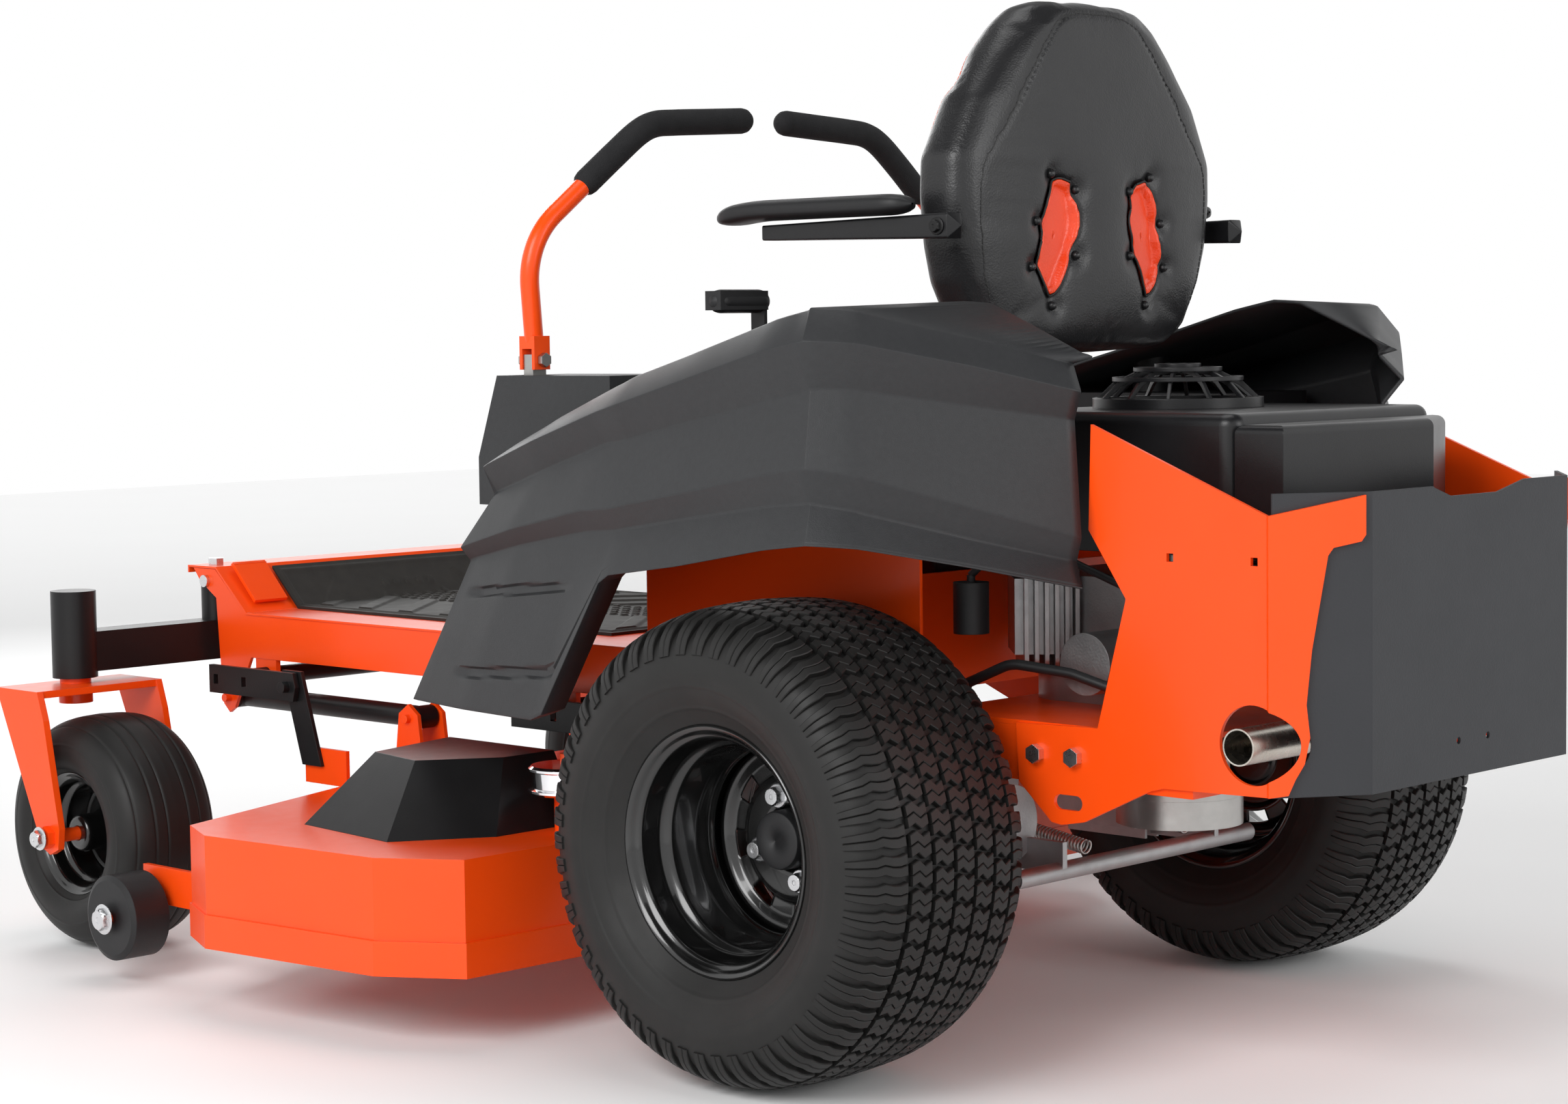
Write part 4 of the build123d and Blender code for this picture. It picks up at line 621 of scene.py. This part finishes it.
def fender_skin(side):
    """Grid of the skin. Down each station the folds are joined by straight runs whose corners are
    cut by two close rows; along the fender the stations are joined by a smooth line."""
    plan = np.array([(across, along) for across, along, _, _ in FENDER_STATIONS])
    rake = np.array([station[2] for station in FENDER_STATIONS])
    heights = np.array([station[3] for station in FENDER_STATIONS])
    run = np.concatenate([[0], np.cumsum(np.linalg.norm(np.diff(plan, axis=0), axis=1))])
    fine = np.unique(np.concatenate([np.linspace(a, b, max(2, int((b - a) / 0.012)))
                                     for a, b in zip(run, run[1:])]))
    blur = np.exp(-((fine[:, None] - fine[None, :]) / 0.011) ** 2) * np.gradient(fine)[None, :]
    blur /= blur.sum(1, keepdims=True)

    def spread(values):
        return blur @ np.interp(fine, run, values)

    place = np.stack([spread(plan[:, 0]), spread(plan[:, 1])], 1)
    slope = np.gradient(place, axis=0)
    slope /= np.linalg.norm(slope, axis=1)[:, None]
    outward = np.stack([-slope[:, 1], slope[:, 0]], 1)
    lean = spread(rake)
    folds = np.stack([spread(column) for column in heights.T], 1)
    rows = [np.stack([np.full(len(fine), FENDER_INNER), place[:, 1], folds[:, 0] + 0.006], 1)]
    for number, inset in enumerate(FOLD_INSET):
        level = folds[:, number]
        spot = place - outward * inset
        rows.append(np.stack([spot[:, 0], spot[:, 1] + lean * (folds[:, 0] - level), level], 1))
    lip = rows[-1].copy()
    lip[:, :2] -= outward * LIP_WIDE
    lip[:, 2] += 0.006
    rows.append(lip)
    rows = np.stack(rows, 1)
    lines = [rows[:, :1]]
    for before, corner, after in zip(range(len(FOLD_INSET) + 1), range(1, 8), range(2, 9)):
        if after >= rows.shape[1]:
            break
        here = rows[:, corner]
        for toward in (before, after):
            step = rows[:, toward] - here
            far = np.linalg.norm(step, axis=1)[:, None]
            lines.append((here + step / far * np.minimum(FOLD_SOFT, far * 0.3))[:, None])
        lines.insert(-1, (here + (lines[-2][:, 0] + lines[-1][:, 0] - 2 * here) * 0.25)[:, None])
    lines.append(rows[:, -1:])
    points = np.concatenate(lines, 1)
    # the face between the recess and the foot is cut fine enough to carry the grooves
    share = np.linspace(0, 1, 62)[None, 1:-1, None]
    face = points[:, 15:16] * (1 - share) + points[:, 16:17] * share
    along = face[..., 1]
    on_leg = np.clip(np.minimum(LEG_FRONT - along, along - LEG_REAR) / 0.006, 0, 1)
    for front_high, climb, half_tall, deep in GROOVES:
        off = np.abs(face[..., 2] - front_high - (LEG_FRONT - along) * climb)
        cut = on_leg * np.clip((half_tall - off) / 0.0018, 0, 1) * deep
        face[..., :2] -= outward[:, None] * cut[..., None]
    points = np.concatenate([points[:, :16], face, points[:, 16:]], 1)
    points[..., 0] = np.maximum(points[..., 0], FENDER_INNER)
    return points * (side, 1, 1) + ORIGIN


for side, label in ((-1, "left"), (1, "right")):
    fender = built(f"fender_skin_{label}", [grid(fender_skin(side))], body_plastic, sharp=34)
    wall = fender.modifiers.new("wall", "SOLIDIFY")
    wall.thickness, wall.offset = 0.004, -1.0
    fitted(fender, "chassis", "body_plastic", f"fender_{label}")


# ---- seat -------------------------------------------------------------------------------------
# High-back seat: foam under sewn black vinyl. The rear panel of the back is joined to the side
# panels by a seam, and has two blade-shaped windows lined in orange, pulled in by small buttons.
def vinyl(name, dark, light, roughness):
    """Grained upholstery vinyl: pebbled relief, and a shine that varies where it is stretched."""
    finish = Finish(name, Specular_IOR_Level=0.5)
    finish.feed(finish.shader.inputs["Base Color"], finish.tint(finish.noise(20.0, 4.0), dark, light))
    finish.feed(finish.shader.inputs["Roughness"],
                finish.span(finish.noise(12.0, 4.0), roughness - 0.07, roughness + 0.08))
    finish.relief(finish.cells(420.0) * 0.7 + finish.noise(60.0, 5.0) * 1.6, 0.00035, 0.8)
    return finish.material


black_vinyl = vinyl("black_vinyl", (0.007, 0.007, 0.008), (0.013, 0.013, 0.014), 0.38)
orange_vinyl = vinyl("orange_vinyl", (0.80, 0.045, 0.006), (0.90, 0.075, 0.012), 0.30)
thread = vinyl("black_thread", (0.010, 0.010, 0.010), (0.024, 0.024, 0.024), 0.65)
orange_thread = vinyl("orange_thread", (0.62, 0.06, 0.01), (0.74, 0.09, 0.02), 0.60)
PUFF_CAP = 0.024


def pillow(levels, half_wide, front, back, power, count=120):
    """Closed form of stacked rounded outlines: at each level a superellipse of that half width
    between its front and back, drawn in to a point at both ends."""
    angle = np.linspace(0, 2 * np.pi, count, endpoint=False)
    bend_x = np.sign(np.cos(angle)) * np.abs(np.cos(angle)) ** (2 / power)
    bend_y = np.sign(np.sin(angle)) * np.abs(np.sin(angle)) ** (2 / power)
    middle, deep = (front + back)[:, None] / 2, (front - back)[:, None] / 2
    points = np.stack(np.broadcast_arrays(half_wide[:, None] * bend_x, middle + deep * bend_y,
                                          levels[:, None]), -1)
    return grid(points + ORIGIN, False, True)


def stuffed(thing, voxel, seams, give):
    """Foam-filled cover: remeshed evenly, blown up by cloth pressure while its seams are held,
    with the swell capped, then smoothed once. Give is how far the foam lets it move each way."""
    remesh = thing.modifiers.new("even", "REMESH")
    remesh.mode, remesh.voxel_size = "VOXEL", voxel
    bake_modifiers(thing)
    start = vertices(thing)
    held = thing.vertex_groups.new(name="seams")
    near = distance_to(start, seams)
    for number in np.nonzero(near < 0.010)[0]:
        held.add([int(number)], 1.0, "REPLACE")
    cloth = thing.modifiers.new("foam", "CLOTH")
    cloth.settings.use_pressure = True
    cloth.settings.uniform_pressure_force = 4.0
    cloth.settings.effector_weights.gravity = 0.0
    cloth.settings.vertex_group_mass = "seams"
    cloth.settings.tension_stiffness = cloth.settings.compression_stiffness = 22.0
    for number in range(1, 21):
        bpy.context.scene.frame_set(number)
    bake_modifiers(thing)
    bpy.context.scene.frame_set(1)
    moved = (vertices(thing) - start) * give
    far = np.linalg.norm(moved, axis=1)[:, None]
    set_vertices(thing, start + moved * np.minimum(1.0, PUFF_CAP / np.maximum(far, 1e-9)))
    soft = thing.modifiers.new("smooth", "SUBSURF")
    soft.levels = soft.render_levels = 1
    bake_modifiers(thing)
    thing.data.shade_smooth()
    return thing


def bake_modifiers(thing):
    """Keep the shape that the modifiers give, and drop them."""
    shape = bpy.data.meshes.new_from_object(thing.evaluated_get(bpy.context.evaluated_depsgraph_get()))
    materials = list(thing.data.materials)
    thing.modifiers.clear()
    thing.data = shape
    shape.materials.clear()
    for material in materials:
        shape.materials.append(material)


def vertices(thing):
    """All vertex places as one array."""
    flat = np.empty(len(thing.data.vertices) * 3)
    thing.data.vertices.foreach_get("co", flat)
    return flat.reshape(-1, 3)


def set_vertices(thing, places):
    """Put all vertices at new places."""
    thing.data.vertices.foreach_set("co", places.ravel())
    thing.data.update()


def distance_to(points, line):
    """Distance of every point from the nearest point of a line."""
    nearest = np.full(len(points), 9.0)
    for spot in line:
        nearest = np.minimum(nearest, np.linalg.norm(points - spot, axis=1))
    return nearest


def swept(path, radius, count=10, taper=None):
    """Round rod along a path: a circle carried by a frame that turns as little as it can."""
    path = np.asarray(path, float)
    ahead = np.gradient(path, axis=0)
    ahead /= np.linalg.norm(ahead, axis=1)[:, None]
    side = np.cross(ahead, (0.31, 0.22, 0.93))
    side /= np.linalg.norm(side, axis=1)[:, None]
    up = np.cross(ahead, side)
    angle = np.linspace(0, 2 * np.pi, count, endpoint=False)
    size = radius * (np.ones(len(path)) if taper is None else taper)
    ring = (np.cos(angle)[None, :, None] * side[:, None] + np.sin(angle)[None, :, None] * up[:, None])
    return grid(path[:, None] + ring * size[:, None, None], False, True)


def capped(path, radius, count=12):
    """Round rod with rounded closed ends."""
    path = np.asarray(path, float)
    share = np.array([1.0, 0.92, 0.71, 0.38, 0.0])
    start, end = path[0] - path[1], path[-1] - path[-2]
    start, end = start / np.linalg.norm(start), end / np.linalg.norm(end)
    reach = radius * share[:, None]
    line = np.vstack([path[0] + start * reach, path[1:-1], (path[-1] + end * reach)[::-1]])
    taper = np.concatenate([np.sqrt(1.0001 - share ** 2), np.ones(len(path) - 2),
                            np.sqrt(1.0001 - share ** 2)[::-1]])
    return swept(line, radius, count, taper)


def stitches(line, pitch, radius):
    """Row of short thread loops along a line."""
    count = int(np.linalg.norm(np.diff(line, axis=0), axis=1).sum() / pitch)
    spots = even_line(np.asarray(line), 3 * count)
    return [capped(spots[3 * k:3 * k + 3], radius, 5) for k in range(count)]


BACK_LEVELS = np.array([824, 826, 834, 856, 909, 952, 1010, 1055, 1124, 1180, 1215, 1236, 1245, 1248]) / 1000
BACK_HALF = np.array([20, 122, 164, 196, 226, 240, 248, 247, 212, 166, 134, 108, 74, 4]) / 1000
BACK_FRONT = np.array([-52, -14, -2, 4, 8, 6, 4, 2, -2, -8, -18, -32, -50, -60]) / 1000
BACK_REAR = np.array([-54, -84, -98, -104, -108, -109, -109, -109, -108, -105, -101, -92, -80, -62]) / 1000
level = np.linspace(BACK_LEVELS[0], BACK_LEVELS[-1], 90)
back_form = pillow(level, *(np.interp(level, BACK_LEVELS, values) for values in
                            (BACK_HALF, BACK_FRONT, BACK_REAR)), 3.6)
panel_line = smooth_line([(0, -101, 1231), (60, -101, 1226), (104, -102, 1188), (172, -104, 1098), (212, -104, 1046),
                          (218, -104, 992), (208, -103, 902), (170, -98, 846)], 60) / 1000
panel_seam = np.vstack([panel_line[::-1] * (-1, 1, 1), panel_line[1:]]) + ORIGIN
edge_line = smooth_line([(0, -18, 1238), (70, -18, 1232), (136, -12, 1208), (204, -8, 1124), (226, -6, 1055),
                         (220, -4, 992), (206, -2, 905), (166, -6, 842)], 60) / 1000
edge_seam = np.vstack([edge_line[::-1] * (-1, 1, 1), edge_line[1:]]) + ORIGIN
WINDOW = np.array([(-64, 1027), (-88, 1030), (-104, 1006), (-112, 968), (-118, 930), (-92, 892), (-60, 948),
                   (-48, 985)])
WINDOW_BUTTONS = np.array([(-52, 1018), (-96, 1036), (-120, 980), (-128, 926), (-90, 880), (-52, 940)])


def inside(points, outline):
    """Signed depth of points within a rounded outline: distance to its edge, positive inside."""
    ring = smooth_line(np.vstack([outline, outline[:1]]), 90)
    nearest = np.min(np.linalg.norm(points[:, None] - ring[None], axis=2), axis=1)
    a, b = ring[:-1], ring[1:]
    x, y = points[:, :1], points[:, 1:]
    rise = np.where(b[:, 1] == a[:, 1], 1e-9, b[:, 1] - a[:, 1])
    crosses = ((a[:, 1] > y) != (b[:, 1] > y)) & (x < a[:, 0] + (y - a[:, 1]) * (b[:, 0] - a[:, 0]) / rise)
    return np.where(crosses.sum(1) % 2 == 1, nearest, -nearest)


seat_back = stuffed(built("seat_back_cover", [back_form], black_vinyl), 0.006,
                    np.vstack([panel_seam, edge_seam]), (0.25, 1.0, 0.4))
places = vertices(seat_back)
local = places - ORIGIN
rearward = np.clip((-0.055 - local[:, 1]) / 0.03, 0, 1)
for line in (panel_seam, edge_seam):
    toward = np.array([0.0, -0.055, 1.02]) + ORIGIN - places
    toward /= np.linalg.norm(toward, axis=1)[:, None]
    places = places + toward * (0.0045 * np.exp(-(distance_to(places, line) / 0.0045) ** 2))[:, None]
# the panel dips towards the windows, more at each button, and drops away inside them
for side in (-1, 1):
    flat = np.stack([local[:, 0], local[:, 2]], 1)
    depth = inside(flat, WINDOW / 1000 * (-side, 1))
    dip = 0.012 / (1 + np.exp(-depth / 0.0020)) + 0.008 * np.exp(np.minimum(depth, 0) / 0.03)
    for button in WINDOW_BUTTONS / 1000 * (-side, 1):
        dip += 0.0065 * np.exp(-(np.linalg.norm(flat - button, axis=1) / 0.013) ** 2)
    places[:, 1] += dip * rearward
set_vertices(seat_back, places)
fitted(seat_back, "seat", "seat_vinyl", "seat_back")


def rear_of(spots):
    """Place of the finished cover's rear surface under points given across and up."""
    found = []
    finished = vertices(seat_back) - ORIGIN
    for across, up in spots:
        near = (np.hypot(finished[:, 0] - across, finished[:, 2] - up) < 0.006) & (finished[:, 1] < -0.03)
        found.append(finished[near, 1].min() if near.any() else -0.1)
    return np.array(found)


for side, label in ((-1, "left"), (1, "right")):
    ring = smooth_line(np.vstack([WINDOW, WINDOW[:1]]), 60)[:-1] / 1000 * (-side, 1)
    middle = ring.mean(0)
    share = np.linspace(0.98, 0.02, 12)[:, None, None]
    flat = middle + (ring - middle)[None] * share
    depth_at = rear_of(flat.reshape(-1, 2)).reshape(flat.shape[:2]) - 0.0012
    points = np.stack([flat[..., 0], depth_at, flat[..., 1]], -1) + ORIGIN
    lining = built(f"window_lining_{label}", [grid(points, False, True)], orange_vinyl)
    sheet = lining.modifiers.new("sheet", "SOLIDIFY")
    sheet.thickness = 0.002
    fitted(lining, "seat", "seat_vinyl")
    spots = WINDOW_BUTTONS / 1000 * (-side, 1)
    buttons = []
    for (across, up), rear in zip(spots, rear_of(spots)):
        spot = ORIGIN + (across, rear + 0.001, up)
        buttons.append(capped(np.array([spot, spot - (0, 0.0008, 0), spot - (0, 0.0016, 0)]), 0.0055, 14))
    fitted(built(f"window_buttons_{label}", buttons, black_vinyl), "seat", "seat_vinyl")
    hem = np.vstack([ring, ring[:1]])
    rim_line = np.stack([hem[:, 0], rear_of(hem) - 0.0008, hem[:, 1]], 1) + ORIGIN
    fitted(built(f"window_hem_{label}", [swept(smooth_line(rim_line, 120), 0.0013, 8)], thread),
           "seat", "seat_vinyl")

for seam, cloth_thread, label in ((panel_seam, thread, "panel"), (edge_seam, orange_thread, "edge")):
    cover = vertices(seat_back)
    snapped = np.array([cover[np.argmin(np.linalg.norm(cover - spot, axis=1))] for spot in seam])
    fitted(built(f"seat_stitches_{label}", stitches(smooth_line(snapped, 150), 0.0075, 0.0010), cloth_thread),
           "seat", "seat_vinyl")

CUSHION_LEVELS = np.array([701, 703, 715, 745, 775, 800, 812, 817]) / 1000
CUSHION_HALF = np.array([30, 185, 215, 226, 224, 208, 170, 10]) / 1000
CUSHION_FRONT = np.array([215, 380, 412, 424, 424, 408, 370, 200]) / 1000
CUSHION_REAR = np.array([195, -20, -34, -38, -36, -26, 0, 180]) / 1000
level = np.linspace(CUSHION_LEVELS[0], CUSHION_LEVELS[-1], 60)
cushion_form = pillow(level, *(np.interp(level, CUSHION_LEVELS, values) for values in
                               (CUSHION_HALF, CUSHION_FRONT, CUSHION_REAR)), 4.2)
turn = np.linspace(0, 2 * np.pi, 160)
loop_x = np.sign(np.cos(turn)) * np.abs(np.cos(turn)) ** 0.5
loop_y = np.sign(np.sin(turn)) * np.abs(np.sin(turn)) ** 0.5
cushion_seam = np.stack([0.212 * loop_x, 0.193 + 0.218 * loop_y, np.full(160, 0.796)], 1) + ORIGIN
channels = [np.stack([np.full(60, x), np.linspace(0.02, 0.37, 60), np.full(60, 0.812)], 1) + ORIGIN
            for x in (-0.125, 0.125)]
cushion = stuffed(built("seat_cushion_cover", [cushion_form], black_vinyl), 0.006,
                  np.vstack([cushion_seam, *channels]), (0.3, 0.3, 1.0))
places = vertices(cushion)
for line, deep in ((cushion_seam, 0.004), (channels[0], 0.008), (channels[1], 0.008)):
    places[:, 2] -= deep * np.exp(-(distance_to(places, line) / 0.007) ** 2)
places[:, 2] = np.clip(places[:, 2], ORIGIN[2] + 0.7, ORIGIN[2] + 0.828)
set_vertices(cushion, places)
fitted(cushion, "seat", "seat_vinyl", "seat_cushion")


# ---- armrests ---------------------------------------------------------------------------------
# A padded top in soft plastic on a formed plastic beam that folds up about a bolt in the back.
def loft(path, half_wide, half_tall, power=3.0, count=36):
    """Beam along a path whose rounded section changes its width and height, closed at both ends."""
    path = np.asarray(path, float)
    angle = np.linspace(0, 2 * np.pi, count, endpoint=False)
    bend_x = np.sign(np.cos(angle)) * np.abs(np.cos(angle)) ** (2 / power)
    bend_z = np.sign(np.sin(angle)) * np.abs(np.sin(angle)) ** (2 / power)
    points = path[:, None] + np.stack([half_wide[:, None] * bend_x, np.zeros((len(path), count)),
                                       half_tall[:, None] * bend_z], -1)
    return grid(points, False, True)


for side, label in ((-1, "left"), (1, "right")):
    low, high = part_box(f"armrest_{label}")
    outer_x = low.x if side < 0 else high.x
    share = np.linspace(0, 1, 40)
    along = low.y + 0.062 + share * (high.y - low.y - 0.062)
    round_end = np.sqrt(np.clip(1 - np.maximum(np.abs(2 * share - 1) * 1.06 - 0.80, 0) ** 2 / 0.0680, 0.002, 1))
    path = np.stack([np.full(40, outer_x - side * 0.029), along,
                     high.z - 0.013 - 0.009 * np.maximum(share - 0.72, 0) ** 2 / 0.0784], 1)
    pad = loft(path, (0.024 + 0.005 * share) * round_end, 0.0125 * round_end, 2.6)
    fitted(built(f"arm_pad_{label}", [pad], soft_plastic, 60), f"arm_{label}", "arm_plastic",
           f"armrest_{label}")
    along = np.linspace(low.y + 0.001, high.y - 0.055, 30)
    share = np.linspace(0, 1, 30)
    beam_path = np.stack([np.full(30, outer_x - side * 0.044), along, np.full(30, low.z + 0.0155)], 1)
    ends = np.where((share < 0.001) | (share > 0.999), 0.02, 1.0)
    beam = loft(beam_path, 0.0135 * ends, (0.0150 - 0.006 * share) * ends, 9.0)
    fitted(built(f"arm_beam_{label}", [beam], engine_plastic, 30), f"arm_{label}", "arm_plastic")
    bolt = bolt_head((outer_x - side * 0.0300, low.y + 0.026, low.z + 0.015), (side, 0, 0), 0.013, 0.007)
    fitted(built(f"arm_bolt_{label}", [bolt], black, 30), f"arm_{label}", "black_paint")


# ---- lap bar grips ----------------------------------------------------------------------------
# Closed-cell foam sleeves slid over the bent ends of the lap bars, with rounded tips.
def foam(name):
    """Closed-cell foam: fine bubbles and no shine."""
    finish = Finish(name, Specular_IOR_Level=0.25)
    finish.feed(finish.shader.inputs["Base Color"],
                finish.tint(finish.noise(60.0, 5.0), (0.010, 0.010, 0.011), (0.020, 0.020, 0.021)))
    finish.feed(finish.shader.inputs["Roughness"], finish.span(finish.noise(50.0), 0.78, 0.92))
    finish.relief(finish.cells(750.0), 0.0004)
    return finish.material


grip_foam = foam("grip_foam")
GRIP_ROUTE = [(-0.3145, 0.4715, 1.0450), (-0.2700, 0.4685, 1.0795), (-0.2290, 0.4670, 1.1090), (-0.2000, 0.4668, 1.1210),
              (-0.1650, 0.4667, 1.1245), (-0.1050, 0.4663, 1.1278), (-0.0430, 0.4660, 1.1312)]
for side, label in ((-1, "left"), (1, "right")):
    route = smooth_line(np.array(GRIP_ROUTE) * (-side, 1, 1) + ORIGIN, 60)
    fitted(built(f"foam_grip_{label}", [capped(route, 0.0170, 36)], grip_foam, 60), f"bar_{label}",
           "grip_foam", f"grip_{label}")


# ---- floor mat --------------------------------------------------------------------------------
# One moulded rubber mat on the floor pan and up the toe board: a raised border, crossed bars and
# rows of round bosses for grip.
def mat_rubber(name):
    """Moulded rubber, dusty in patches."""
    finish = Finish(name, Specular_IOR_Level=0.35)
    finish.feed(finish.shader.inputs["Base Color"],
                finish.tint(finish.noise(30.0, 6.0), (0.011, 0.010, 0.009), (0.030, 0.027, 0.023)))
    finish.feed(finish.shader.inputs["Roughness"], finish.span(finish.noise(40.0), 0.60, 0.80))
    finish.relief(finish.noise(500.0, 4.0), 0.00025)
    return finish.material


low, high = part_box("foot_mat")
MAT_FOLD = ORIGIN[1] + 1.238
BASE = 0.0042
mat_u = np.linspace(0, 1, 250)
mat_v = np.linspace(0, 1, 380)
mat_x = low.x + 0.001 + mat_u * (high.x - low.x - 0.002)
mat_run = np.linspace(low.y, high.y - 0.002, 380)
rise = np.clip(mat_run - MAT_FOLD, 0, None) * 0.945
across, along = np.meshgrid(mat_x - (low.x + high.x) / 2, mat_run, indexing="ij")
half_across, start, end = (high.x - low.x) / 2, low.y, high.y
edge = np.minimum(np.minimum(half_across - np.abs(across), along - start), end - along)
border = np.clip(1 - np.abs(edge - 0.011) / 0.004, 0, 1)
bars = np.abs(np.mod(along * 11 + np.abs(across) * 9, 1.0) - 0.5)
chevrons = np.clip((0.20 - bars) / 0.05, 0, 1) * (np.abs(across) > 0.055) * (edge > 0.026)
boss_x, boss_y = np.mod(across / 0.022 + 0.5, 1.0) - 0.5, np.mod(along / 0.022, 1.0) - 0.5
bosses = np.clip((0.30 - np.hypot(boss_x, boss_y)) / 0.08, 0, 1) * (np.abs(across) < 0.055) * (edge > 0.026)
relief_up = 0.0030 * np.maximum(np.maximum(border, chevrons), bosses)
top = np.stack([across + (low.x + high.x) / 2, along,
                low.z + BASE + rise[None, :] + relief_up], -1)
base = top.copy()
base[..., 2] = low.z + rise[None, :] + 0.0002
shells = [grid(top), grid(base)]
for rim_a, rim_b in ((top[0], base[0]), (top[-1], base[-1]), (top[:, 0], base[:, 0]), (top[:, -1], base[:, -1])):
    shells.append(grid(np.stack([rim_a, rim_b])))
fitted(built("rubber_mat", shells, mat_rubber("mat_rubber"), 30), "chassis", "mat_rubber", "foot_mat")


# ---- brake grip -------------------------------------------------------------------------------
# The parking brake lever ends in a moulded hand grip that lies across the machine.
low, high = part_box("brake_lever")
grip_high = high.z - 0.0125
grip_along = (low.y + high.y) / 2
route = np.stack([np.linspace(low.x + 0.012, high.x - 0.004, 20), np.full(20, grip_along),
                  np.full(20, grip_high)], 1)
fitted(built("brake_grip", [capped(route, 0.0142, 28)], soft_plastic, 60), "brake", "body_plastic")


# ---- fasteners --------------------------------------------------------------------------------
# Plated hex bolts through the caster forks and the small wheels at the deck's front corners. Each
# head sits on the surface that a straight line towards the part meets first.
def bolted(name, body, spots, across=0.016, tall=0.0075):
    """Hex heads on the surfaces met by lines: (node, start, direction) each."""
    heads = []
    for node, start, way in spots:
        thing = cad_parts[node]
        turn_back = thing.matrix_world.inverted()
        start_at = turn_back @ Vector(tuple(np.array(start) + ORIGIN))
        heading = (turn_back.to_3x3() @ Vector(way)).normalized()
        found, spot, _, _ = thing.ray_cast(start_at, heading)
        if not found:
            raise ValueError(f"{name}: no surface of {node} in line with {start}")
        heads.append(bolt_head(tuple(thing.matrix_world @ spot), tuple(-np.array(way)), across, tall))
    fitted(built(name, heads, zinc, 30), body, "zinc_fasteners")


for side, label in ((-1, "left"), (1, "right")):
    toward = (-side, 0, 0)
    low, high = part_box(f"scalp_wheel_{label}")
    hub = (np.array(low) + np.array(high)) / 2 - ORIGIN
    bolted(f"scalp_bolt_{label}", "deck", [("deck_shell", (hub[0] + side * 0.3, hub[1], hub[2]), toward)],
           0.026, 0.010)
    low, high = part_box(f"caster_tyre_{label}")
    hub = (np.array(low) + np.array(high)) / 2 - ORIGIN
    bolted(f"fork_bolt_{label}", f"caster_{label}",
           [(f"caster_fork_{label}", (hub[0] + side * 0.3, hub[1], hub[2]), toward)], 0.021, 0.010)
